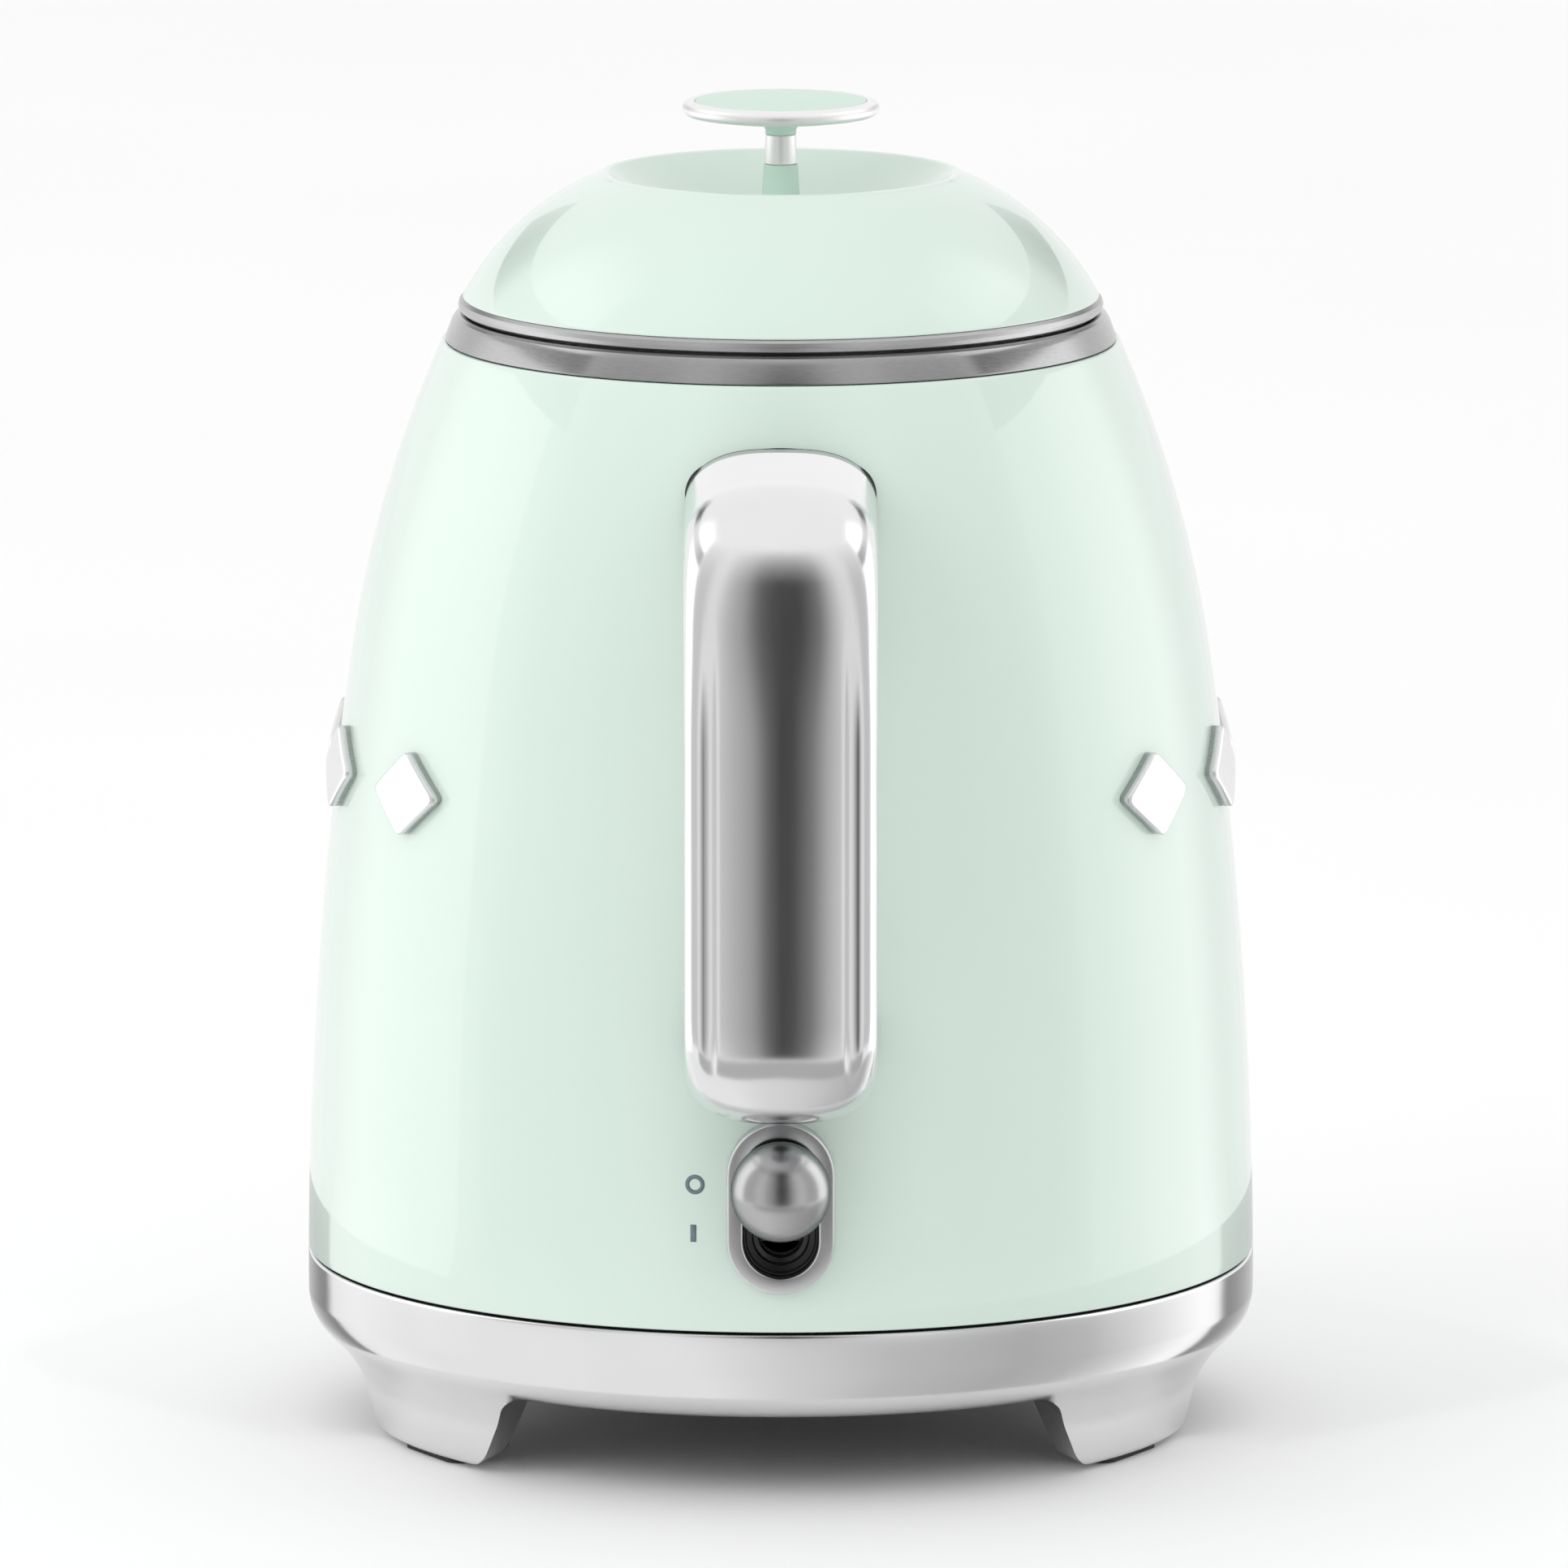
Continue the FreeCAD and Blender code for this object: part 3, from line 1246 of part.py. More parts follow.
fill_sheet()
for make in (
    make_base_shell, make_foot_pads, make_base_top_plate, make_base_bottom_cover, make_base_cover_screws,
    make_base_connector, make_base_contacts, make_cord_gland, make_cord_clamp,
    make_contact_ring, make_kettle_connector, make_underbody_cover, make_underbody_screws, make_wall_brackets,
    make_body_shell, make_spout, make_rim_collar, make_heater_plate, make_plate_seal, make_heat_diffuser,
    make_heating_element, make_control_unit, make_steam_tube, make_bimetal_disc,
    make_handle, make_handle_gaskets, make_handle_fixings,
    make_switch_bezel, make_switch_well, make_switch_housing, make_switch_pivot, make_switch_lever,
    make_switch_ball, make_trip_lever, make_trip_bracket,
    make_badges, make_filter,
    make_lid_dome, make_lid_trim_ring, make_lid_insert, make_lid_seal, make_lid_screws,
    make_knob_post, make_knob_sleeve, make_knob_neck, make_knob_disc, make_knob_inlay, make_knob_screw,
):
    make()
check_and_write()
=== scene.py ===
import json
import math

import bmesh
import bpy
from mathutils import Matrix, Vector


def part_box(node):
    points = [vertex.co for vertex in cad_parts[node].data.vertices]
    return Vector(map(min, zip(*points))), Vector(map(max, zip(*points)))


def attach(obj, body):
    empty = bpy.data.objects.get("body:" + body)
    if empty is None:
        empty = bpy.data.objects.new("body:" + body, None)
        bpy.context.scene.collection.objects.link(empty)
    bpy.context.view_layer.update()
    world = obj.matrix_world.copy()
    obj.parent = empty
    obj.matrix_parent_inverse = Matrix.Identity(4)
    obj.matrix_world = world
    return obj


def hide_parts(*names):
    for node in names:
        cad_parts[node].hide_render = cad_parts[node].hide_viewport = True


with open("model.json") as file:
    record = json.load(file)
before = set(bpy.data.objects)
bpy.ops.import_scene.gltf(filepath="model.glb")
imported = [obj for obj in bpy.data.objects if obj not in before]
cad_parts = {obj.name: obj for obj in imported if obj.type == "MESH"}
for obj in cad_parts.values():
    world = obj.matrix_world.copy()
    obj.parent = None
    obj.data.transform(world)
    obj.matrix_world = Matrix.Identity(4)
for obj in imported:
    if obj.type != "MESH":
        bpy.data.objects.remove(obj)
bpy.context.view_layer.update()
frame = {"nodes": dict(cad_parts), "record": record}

# Sizes are in millimetres, about the kettle's own upright axis: +Z up, -Y towards the handle.
MM = 0.001
ring_low, ring_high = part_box("contact_ring")
AXIS = Vector(((ring_low.x + ring_high.x) / 2, (ring_low.y + ring_high.y) / 2, 0))
BODY_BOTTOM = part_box("body_shell")[0].z / MM
NECK_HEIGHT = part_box("body_shell")[1].z / MM
BODY_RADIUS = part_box("body_shell")[1].x / MM
BASE_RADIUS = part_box("base_shell")[1].x / MM
BASE_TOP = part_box("base_shell")[1].z / MM
LEG_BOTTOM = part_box("base_shell")[0].z / MM
KNOB_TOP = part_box("knob_disc")[1].z / MM
KNOB_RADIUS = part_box("knob_disc")[1].x / MM
SPOUT_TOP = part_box("spout")[1].z / MM
SPOUT_TIP = (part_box("spout")[1].y - AXIS.y) / MM
SWITCH_HEIGHT = 48.1

# The wall's profile: radius and height of the points that its two arcs pass through.
BELLY = (73.16, 74.5)
WAIST = (68.21, 121.0)
SHOULDER = (62.52, 148.0)
NECK = (53.37, NECK_HEIGHT)
WALL = 1.0
TURNS = 320


# ------------------------ shapes


def place(across, out, up):
    """A point about the kettle's axis, in metres in the row frame."""
    return Vector((AXIS.x + across * MM, AXIS.y + out * MM, up * MM))


def polar(radius, angle, up):
    """A point at an angle in radians, counted from the handle anticlockwise seen from above."""
    return place(radius * math.sin(angle), -radius * math.cos(angle), up)


def smooth_step(value, low, high):
    share = min(1.0, max(0.0, (value - low) / (high - low)))
    return share * share * (3 - 2 * share)


def circle_through(first, second, third):
    """Centre and radius of the circle through three flat points."""
    ax, ay = second[0] - first[0], second[1] - first[1]
    bx, by = third[0] - first[0], third[1] - first[1]
    cross = 2 * (ax * by - ay * bx)
    a, b = ax * ax + ay * ay, bx * bx + by * by
    dx, dy = (by * a - ay * b) / cross, (ax * b - bx * a) / cross
    return (first[0] + dx, first[1] + dy), math.hypot(dx, dy)


def arc(first, via, last, count):
    """Points along the arc from first through via to last."""
    centre, radius = circle_through(first, via, last)
    angles = [math.atan2(point[1] - centre[1], point[0] - centre[0]) for point in (first, via, last)]
    sweep = (angles[2] - angles[0]) % math.tau
    if (angles[1] - angles[0]) % math.tau > sweep:
        sweep -= math.tau
    turns = [angles[0] + sweep * step / count for step in range(count + 1)]
    return [(centre[0] + radius * math.cos(turn), centre[1] + radius * math.sin(turn)) for turn in turns]


def trace(corners, step=0.7):
    """Points of a closed outline of corners (across, up). Two more values lead an arc through that point."""
    points = []
    for start, stop in zip(corners, corners[1:] + corners[:1]):
        points.append(start[:2])
        if len(start) == 4:
            length = math.dist(start[:2], start[2:]) + math.dist(start[2:], stop[:2])
            points += arc(start[:2], start[2:], stop[:2], max(4, round(length / step)))[1:-1]
    return points


def soften(points, radius, steps=4, least=14):
    """Round off the corners of a closed outline that turn by more than some degrees."""
    result = []
    for index, here in enumerate(points):
        before, after = Vector(points[index - 1]), Vector(points[(index + 1) % len(points)])
        spot = Vector(here)
        back, ahead = before - spot, after - spot
        turn = math.pi - back.angle(ahead)
        if math.degrees(turn) < least or here[0] < 1e-6:
            result.append(here)
            continue
        reach = min(radius * math.tan(turn / 2), back.length * 0.45, ahead.length * 0.45)
        start, stop = spot + back.normalized() * reach, spot + ahead.normalized() * reach
        for count in range(steps + 1):
            share = count / steps
            middle = start.lerp(spot, share).lerp(spot.lerp(stop, share), share)
            result.append(tuple(middle))
    return result


def new_mesh(name, points, faces):
    mesh = bpy.data.meshes.new(name)
    mesh.from_pydata([tuple(point) for point in points], [], faces)
    mesh.validate()
    mesh.polygons.foreach_set("use_smooth", [True] * len(mesh.polygons))
    piece = bpy.data.objects.new(name, mesh)
    bpy.context.scene.collection.objects.link(piece)
    return piece


def face_outwards(piece):
    """Turn a closed piece's faces so that they all look out of it."""
    work = bmesh.new()
    work.from_mesh(piece.data)
    bmesh.ops.recalc_face_normals(work, faces=work.faces)
    work.to_mesh(piece.data)
    work.free()
    return piece


def skin(name, loops, around=True, close=False, caps=False):
    """Quads between loops of equal length. around joins each loop's ends, close joins the last loop to
    the first, and caps fills the first and last loops."""
    size = len(loops[0])
    points = [point for loop in loops for point in loop]
    faces = []
    for row in range(len(loops) if close else len(loops) - 1):
        low, high = row * size, (row + 1) % len(loops) * size
        for spot in range(size if around else size - 1):
            after = (spot + 1) % size
            faces.append((low + spot, low + after, high + after, high + spot))
    if caps:
        faces.append(tuple(reversed(range(size))))
        faces.append(tuple(range((len(loops) - 1) * size, len(loops) * size)))
    return face_outwards(new_mesh(name, points, faces))


def lathe(name, corners, soft=0.25, turns=TURNS, step=0.7):
    """Turn a closed outline of (radius, height) about the axis."""
    outline = soften(trace(corners, step), soft)
    points, rows = [], []
    for radius, up in outline:
        if radius < 1e-6:
            rows.append([len(points)] * turns)
            points.append(place(0, 0, up))
        else:
            rows.append(list(range(len(points), len(points) + turns)))
            points += [polar(radius, math.tau * turn / turns, up) for turn in range(turns)]
    faces = []
    for row, low in enumerate(rows):
        high = rows[(row + 1) % len(rows)]
        if low[0] == low[1] and high[0] == high[1]:
            continue
        for turn in range(turns):
            after = (turn + 1) % turns
            faces.append(tuple(dict.fromkeys((low[turn], low[after], high[after], high[turn]))))
    return face_outwards(new_mesh(name, points, faces))


def weigh_normals(piece):
    modifier = piece.modifiers.new("even_shading", "WEIGHTED_NORMAL")
    modifier.keep_sharp = True
    modifier.weight = 80


def settle(piece, body, material, *nodes, slot=None, even=True):
    """Give a piece its material, its body and the CAD nodes that it stands for. Its slot argument is not
    used.
    """
    piece.data.materials.clear()
    piece.data.materials.append(material)
    if even:
        weigh_normals(piece)
    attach(piece, body)
    if nodes:
        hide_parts(*nodes)
    return piece


# ------------------------ materials


def new_material(name, **sockets):
    """A principled material with its fixed values set straight on the shader."""
    material = bpy.data.materials.new(name)
    material.use_nodes = True
    shader = material.node_tree.nodes["Principled BSDF"]
    for word, value in sockets.items():
        shader.inputs[word.replace("_", " ")].default_value = value
    return material, shader


def add(material, kind, inputs=None, **settings):
    """Add a node, set its settings and inputs; an input may be another node's output socket."""
    made = material.node_tree.nodes.new("ShaderNode" + kind)
    for word, value in settings.items():
        setattr(made, word, value)
    for key, value in (inputs or {}).items():
        if isinstance(value, bpy.types.NodeSocket):
            material.node_tree.links.new(value, made.inputs[key])
        else:
            made.inputs[key].default_value = value
    return made


def join(material, output, target):
    material.node_tree.links.new(output, target)


def colour_by(material, shader, value, first, second):
    join(material, tint(material, value, first, second), shader.inputs["Base Color"])


def noise(material, scale, detail=2.0, stretch=None):
    """Noise in the row frame; scale is in waves per metre."""
    source = add(material, "TexCoord").outputs["Object"]
    if stretch:
        source = add(material, "Mapping", {"Vector": source, "Scale": stretch}).outputs["Vector"]
    return add(material, "TexNoise", {"Vector": source, "Scale": scale, "Detail": detail}).outputs["Fac"]


def spread(material, value, low, high):
    """Carry a 0 to 1 value to a range of numbers."""
    return add(material, "MapRange", {"Value": value, "To Min": low, "To Max": high}).outputs["Result"]


def tint(material, value, first, second):
    """Carry a 0 to 1 value to a blend of two colours."""
    ramp = add(material, "ValToRGB", {"Fac": value})
    ramp.color_ramp.elements[0].position = 0.3
    ramp.color_ramp.elements[1].position = 0.7
    ramp.color_ramp.elements[0].color = first + (1,)
    ramp.color_ramp.elements[1].color = second + (1,)
    return ramp.outputs["Color"]


def bump(material, shader, height, distance, strength=1.0, socket="Normal"):
    made = add(material, "Bump", {"Height": height, "Distance": distance, "Strength": strength})
    join(material, made.outputs["Normal"], shader.inputs[socket])


def angle_and_height(material):
    """Coordinates that run around the kettle's axis and up it, for turned and brushed metal."""
    source = add(material, "TexCoord").outputs["Object"]
    middle = add(material, "VectorMath", {0: source, 1: AXIS}, operation="SUBTRACT").outputs["Vector"]
    parts = add(material, "SeparateXYZ", {"Vector": middle})
    angle = add(material, "Math", {0: parts.outputs["Y"], 1: parts.outputs["X"]}, operation="ARCTAN2")
    flat = add(material, "CombineXYZ", {"X": parts.outputs["X"], "Y": parts.outputs["Y"]})
    radius = add(material, "VectorMath", {0: flat.outputs["Vector"]}, operation="LENGTH")
    return angle.outputs["Value"], radius.outputs["Value"], parts.outputs["Z"]


def make_paint(name, first, second, **sockets):
    material, shader = new_material(name, Coat_Roughness=0.035, IOR=1.45, **sockets)
    colour_by(material, shader, noise(material, 18, 3), first, second)
    bump(material, shader, noise(material, 420, 1), 0.00001, 0.25)
    bump(material, shader, noise(material, 150, 1), 0.00001, 0.12, "Coat Normal")
    return material


def make_metal(name, colour, rough, grain, streaks, vary=0.03, depth=0.25, **sockets):
    """Plated or polished metal: fine rubbing marks along one direction and slightly uneven gloss."""
    material, shader = new_material(name, Metallic=1.0, **sockets)
    dark = tuple(part * 0.965 for part in colour)
    colour_by(material, shader, noise(material, 60, 3), dark, colour)
    marks = noise(material, grain, 3, streaks)
    join(material, spread(material, marks, rough - vary, rough + vary), shader.inputs["Roughness"])
    bump(material, shader, marks, 0.000003, depth)
    return material


def make_turned_steel(name, colour, rough, pitch, depth):
    """Steel with fine rings of brushing around the kettle's axis."""
    material, shader = new_material(name, Metallic=1.0)
    angle, radius, up = angle_and_height(material)
    around = add(material, "Math", {0: angle, 1: 0.004}, operation="MULTIPLY").outputs["Value"]
    spot = add(material, "CombineXYZ", {"X": around, "Y": radius, "Z": up}).outputs["Vector"]
    marks = add(material, "TexNoise", {"Vector": spot, "Scale": pitch, "Detail": 4.0}).outputs["Fac"]
    dark = tuple(part * 0.88 for part in colour)
    colour_by(material, shader, marks, dark, colour)
    join(material, spread(material, marks, rough - 0.06, rough + 0.06), shader.inputs["Roughness"])
    bump(material, shader, marks, depth, 0.5)
    return material


def make_plastic(name, colour, rough, grain, depth):
    """Moulded plastic or rubber with a fine spark-eroded grain."""
    material, shader = new_material(name, IOR=1.48)
    light = tuple(min(1.0, part * 1.18 + 0.004) for part in colour)
    colour_by(material, shader, noise(material, 90, 3), colour, light)
    grains = noise(material, grain, 2)
    join(material, spread(material, grains, rough - 0.06, rough + 0.06), shader.inputs["Roughness"])
    bump(material, shader, grains, depth, 0.6)
    return material


def make_net():
    """Woven wire: a fine lattice of bright wires over gaps painted near-black, as painted shade for the dark
    seen through the holes.
    """
    material, shader = new_material("filter_net", Metallic=0.9, Roughness=0.4)
    parts = add(material, "SeparateXYZ", {"Vector": add(material, "TexCoord").outputs["Object"]})
    waves = []
    for axis in "XZ":
        pitch = {0: parts.outputs[axis], 1: math.tau / WIRE_PITCH}
        turns = add(material, "Math", pitch, operation="MULTIPLY")
        waves.append(add(material, "Math", {0: turns.outputs["Value"]}, operation="SINE").outputs["Value"])
    crossing = add(material, "Math", {0: waves[0], 1: waves[1]}, operation="MAXIMUM").outputs["Value"]
    wires = add(material, "MapRange", {"Value": crossing, "From Min": 0.1, "From Max": 0.6}).outputs["Result"]
    # painted shade: the gaps between the wires get a near-black colour for the dark seen through them
    colour_by(material, shader, wires, (0.035, 0.035, 0.035), (0.55, 0.55, 0.56))
    bump(material, shader, crossing, 0.00006, 0.5)
    return material


WIRE_PITCH = 0.0009
FILTER_NET = make_net()
PAINT = make_paint(
    "mint_enamel", (0.622, 0.748, 0.672), (0.638, 0.763, 0.688),
    Roughness=0.32, Coat_Weight=1.0, Coat_IOR=1.6,
)
KNOB_PAINT = make_paint(
    "knob_enamel", (0.56, 0.73, 0.635), (0.575, 0.745, 0.65),
    Roughness=0.5, Coat_Weight=0.25, Coat_IOR=1.4,
)
CHROME = make_metal("polished_chrome", (0.82, 0.82, 0.83), 0.16, 900, (1, 1, 0.04))
BASE_CHROME = make_metal("base_chrome", (0.80, 0.80, 0.805), 0.16, 900, (1, 1, 0.04), 0.02, 0.15)
BALL_CHROME = make_metal(
    "ball_chrome", (0.50, 0.50, 0.505), 0.25, 700, (1, 1, 1), 0.02, 0.03, Specular_Tint=(0.3, 0.3, 0.3, 1)
)
BEZEL_CHROME = make_metal("bezel_chrome", (0.74, 0.74, 0.745), 0.26, 1400, (1, 1, 1), 0.02, 0.05)
KNOB_SILVER = make_metal("knob_silver", (0.90, 0.885, 0.89), 0.42, 1400, (1, 1, 1), 0.03, 0.1)
BADGE_METAL = make_metal("badge_metal", (0.80, 0.79, 0.80), 0.28, 2500, (0.1, 0.1, 1))
FASTENER_STEEL = make_metal("fastener_steel", (0.56, 0.57, 0.58), 0.3, 2500, (1, 1, 1), 0.06)
BRASS = make_metal("contact_brass", (0.78, 0.60, 0.27), 0.26, 1800, (1, 1, 0.2), 0.06)
ALUMINIUM = make_metal("cast_aluminium", (0.70, 0.71, 0.72), 0.42, 1200, (1, 1, 1), 0.06)
COLLAR_STEEL = make_turned_steel("collar_steel", (0.40, 0.40, 0.405), 0.17, 9000, 0.000002)
PLATE_STEEL = make_turned_steel("plate_steel", (0.60, 0.60, 0.61), 0.3, 6000, 0.000004)
VESSEL_STEEL = make_turned_steel("vessel_steel", (0.62, 0.62, 0.615), 0.32, 5000, 0.000003)
BEAD_STEEL = make_turned_steel("bead_steel", (0.50, 0.50, 0.505), 0.3, 9000, 0.000002)
BLACK_PLASTIC = make_plastic("black_plastic", (0.018, 0.018, 0.019), 0.5, 2600, 0.00002)
WELL_PLASTIC = make_plastic("well_plastic", (0.008, 0.008, 0.008), 0.2, 2600, 0.000004)
GREY_PLASTIC = make_plastic("grey_plastic", (0.22, 0.225, 0.23), 0.42, 2400, 0.00001)
WHITE_PLASTIC = make_plastic("white_plastic", (0.66, 0.655, 0.62), 0.45, 2400, 0.00001)
RUBBER = make_plastic("black_rubber", (0.022, 0.022, 0.022), 0.72, 3200, 0.00002)
SILICONE = make_plastic("grey_silicone", (0.45, 0.45, 0.435), 0.55, 1800, 0.00001)
INK = make_plastic("slate_ink", (0.145, 0.185, 0.215), 0.4, 3600, 0.000004)


# ------------------------ kettle body

SWITCH_HOLE = (7.2, 12.3)  # half its width and half its height
SPOUT_LOW = WAIST[1] + 2
SPOUT_HALF = 22.4
SPOUT_COLUMNS = 26  # the wall's grid lines between the spout's middle and its side
LOWER_ARC = circle_through((BODY_RADIUS, BODY_BOTTOM), BELLY, WAIST)
UPPER_ARC = circle_through(WAIST, SHOULDER, NECK)


def wall_radius(up):
    """The wall's outer radius at a height."""
    centre, radius = LOWER_ARC if up < WAIST[1] else UPPER_ARC
    return centre[0] + math.sqrt(radius ** 2 - (up - centre[1]) ** 2)


def inside_stadium(across, up, half_width, half_height):
    reach = max(0.0, abs(up) - (half_height - half_width))
    return math.hypot(across, reach) < half_width


def in_switch_hole(angle, up):
    turn = (angle + math.pi) % math.tau - math.pi
    return inside_stadium(turn * BODY_RADIUS, up - SWITCH_HEIGHT, *SWITCH_HOLE)


def spout_edge(up):
    """Half the angle of the wall's hole behind the beak, at a height."""
    half = spout_half_width(min(up, SPOUT_TOP)) - 0.7
    return max(half, 0.6) / wall_radius(min(up, SPOUT_TOP))


def wall_angle(turn, turns, up):
    """The angle of one of the wall's upright grid lines, which bend to follow the spout's sides."""
    uniform = math.tau * turn / turns
    offset = turn % turns - turns // 2
    share = abs(offset) / SPOUT_COLUMNS
    if share >= 2:
        return uniform
    plain = math.tau * SPOUT_COLUMNS / turns
    pull = smooth_step(up, SPOUT_LOW - 18, SPOUT_LOW + 4)
    edge = spout_edge(max(up, SPOUT_LOW + 1)) * pull + plain * (1 - pull)
    width = edge * share if share <= 1 else edge + (2 * plain - edge) * (share - 1)
    return math.pi + math.copysign(width, offset)


def spout_half_width(up):
    """Half the spout's width where it meets the wall: a rounded V from its point to its lip."""
    share = max(0.0, (up - SPOUT_LOW) / (SPOUT_TOP - SPOUT_LOW))
    return SPOUT_HALF * share ** 0.82


def make_body_wall():
    """The painted wall with its two sides, rolled edges, and holes behind the switch and the spout."""
    lowest, highest = BODY_BOTTOM + 0.05, NECK_HEIGHT - 0.1
    heights = [lowest + (SPOUT_TOP - 0.6 - lowest) * row / 124 for row in range(125)]
    heights += [SPOUT_TOP + (highest - SPOUT_TOP) * row / 3 for row in range(4)]
    outer = [(wall_radius(up), up) for up in heights]
    inner = [(wall_radius(up) - WALL, up) for up in heights]
    top = [(NECK[0] - 0.12, NECK_HEIGHT), (NECK[0] - WALL + 0.12, NECK_HEIGHT)]
    low = [(BODY_RADIUS - WALL + 0.12, BODY_BOTTOM - 0.15), (BODY_RADIUS - 0.12, BODY_BOTTOM - 0.15)]
    turns, count = 384, len(heights)
    points = [
        polar(radius, wall_angle(turn, turns, up), up)
        for radius, up in outer + top + inner[::-1] + low
        for turn in range(turns)
    ]
    rows = len(points) // turns
    faces, cut = [], set()
    for row in range(count - 1):
        middle = (heights[row] + heights[row + 1]) / 2
        for turn in range(turns):
            angle = math.tau * (turn + 0.5) / turns
            columns_away = abs(turn + 0.5 - turns / 2)
            behind_spout = columns_away < SPOUT_COLUMNS and SPOUT_LOW + 7 < middle < SPOUT_TOP - 0.6
            if in_switch_hole(angle, middle) or behind_spout:
                cut.add((row, turn))
    mirror = 2 * count + 1  # a row of the outer side and the row behind it add up to this

    def spot(row, turn):
        return row % rows * turns + turn % turns

    for row in range(rows):
        for turn in range(turns):
            opposite = mirror - row - 1
            if (row, turn) in cut or (opposite, turn) in cut:
                continue
            faces.append((spot(row, turn), spot(row, turn + 1), spot(row + 1, turn + 1), spot(row + 1, turn)))
    for row, turn in cut:
        edges = (
            ((row, turn - 1), (row, turn), (row + 1, turn)),
            ((row, turn + 1), (row, turn + 1), (row + 1, turn + 1)),
            ((row - 1, turn), (row, turn), (row, turn + 1)),
            ((row + 1, turn), (row + 1, turn), (row + 1, turn + 1)),
        )
        for beside, first, second in edges:
            if (beside[0], beside[1] % turns) not in cut:
                across = (spot(mirror - second[0], second[1]), spot(mirror - first[0], first[1]))
                faces.append((spot(*first), spot(*second)) + across)
    wall = face_outwards(new_mesh("body_wall", points, faces))
    settle(wall, "kettle", PAINT, "body_shell", slot="mint_paint")
    wall.data.materials.append(VESSEL_STEEL)
    first_inner = (count + len(top)) * turns
    last_inner = first_inner + count * turns
    for polygon in wall.data.polygons:
        if all(first_inner <= corner < last_inner for corner in polygon.vertices):
            polygon.material_index = 1  # the steel vessel's side


def spout_section(up, inset):
    """Half of the beak's level outline at a height, from the wall to the nose: (across, out)."""
    share = max(0.0, (up - SPOUT_LOW) / (SPOUT_TOP - SPOUT_LOW))
    radius = wall_radius(up)
    half = max(0.3, spout_half_width(up) - inset)
    nose = radius - 0.5 + (SPOUT_TIP - radius + 0.5) * share ** 1.2 - inset * 1.4
    points = []
    for step in range(41):
        turn = math.pi / 2 * step / 40
        across = half * math.cos(turn)
        side = math.sqrt(max((radius - 0.5) ** 2 - across ** 2, 1.0))
        points.append((across, side + (nose - radius + 0.5) * math.sin(turn) ** 1.7))
    return points


def spout_loop(up, inset):
    right = spout_section(up, inset)
    left = [(-across, out) for across, out in reversed(right[:-1])]
    return [place(across, out, up) for across, out in right + left]


def make_spout():
    """The beak: an outer and an inner skin joined by a rolled lip."""
    thick, rolled = 1.3, 0.9
    lowest, highest = SPOUT_LOW + 0.5, SPOUT_TOP - rolled
    heights = [lowest + (highest - lowest) * (row / 44) for row in range(45)]
    outer = [spout_loop(up, 0) for up in heights]
    lip = [
        spout_loop(highest + rolled * math.sin(turn), thick / 2 * (1 - math.cos(turn)))
        for turn in (0.4, 0.8, 1.2, 1.57, math.pi - 1.2, math.pi - 0.8, math.pi - 0.4)
    ]
    inner = [spout_loop(up, thick) for up in reversed(heights[6:])]
    beak = skin("spout_beak", outer + lip + inner, around=False)
    settle(beak, "kettle", PAINT, "spout", slot="mint_paint")


def make_collar():
    settle(lathe("collar_band", [
        (49.6, 168.0), (51.2, 168.0), (51.6, 173.1), (52.95, 173.1), (51.85, 176.05), (51.25, 176.95),
        (50.6, 177.3), (49.9, 177.3), (49.6, 177.0),
    ], soft=0.22), "kettle", COLLAR_STEEL, "rim_collar", slot="steel")


# ------------------------ handle

GRIP_OUT = 108.0
GRIP_WIDE = 14.75
GRIP_DEEP = 7.98
SPINE_WIDE = 10.7
SPINE_EDGE = 5.6
ARM_TOP = 156.0
ARM_BOTTOM = 73.6
BEND_TOP = 14.0
BEND_BOTTOM = 11.0
GRIP_SEAM = 2.0
GASKET = 0.72


def grip_bend(radius, height, first):
    """Places round one of the handle's bends: (out, up, direction angle)."""
    turns = [first + math.pi / 2 * step / 24 for step in range(25)]
    return [
        (-GRIP_OUT + radius - radius * math.sin(turn), height + radius * math.cos(turn), turn)
        for turn in turns
    ]


def grip_path():
    """Places along the middle of the handle, from the upper root down."""
    high, low = ARM_TOP - BEND_TOP, ARM_BOTTOM + BEND_BOTTOM
    places = [(-52 - 2.1 * step, ARM_TOP, 0.0) for step in range(20)]
    places = [spot for spot in places if spot[0] > -GRIP_OUT + BEND_TOP + 0.6]
    places += grip_bend(BEND_TOP, high, 0.0)
    places += [(-GRIP_OUT, high + (low - high) * step / 24, math.pi / 2) for step in range(1, 24)]
    places += grip_bend(BEND_BOTTOM, low, math.pi / 2)
    places += [(-GRIP_OUT + BEND_BOTTOM + step * 2.1, ARM_BOTTOM, math.pi) for step in range(1, 17)]
    return places


def carry(section, spot):
    """Place a section, (across, outwards), at a spot on the grip's path. In the bends the spine and its
    valleys melt into a plain crown."""
    out, up, turn = spot
    spine = smooth_step(ARM_TOP - up, 8, 30) * (1 - smooth_step(math.degrees(turn), 104, 138))
    points = []
    for across, away in section:
        if away > 0.6:
            crown = GRIP_DEEP * math.sqrt(max(0.0, 1 - (abs(across) / GRIP_WIDE) ** 2.8))
            away = away * spine + max(crown, 0.6) * (1 - spine)
        points.append(place(across, out - away * math.sin(turn), up + away * math.cos(turn)))
    return points


def end_at_wall(points):
    """Slide the points of a root section along Y until they rest on the gasket over the wall."""
    result = []
    for point in points:
        across, up = (point.x - AXIS.x) / MM, point.z / MM
        radius = wall_radius(up) + GASKET
        result.append(place(across, -math.sqrt(radius ** 2 - across ** 2), up))
    return result


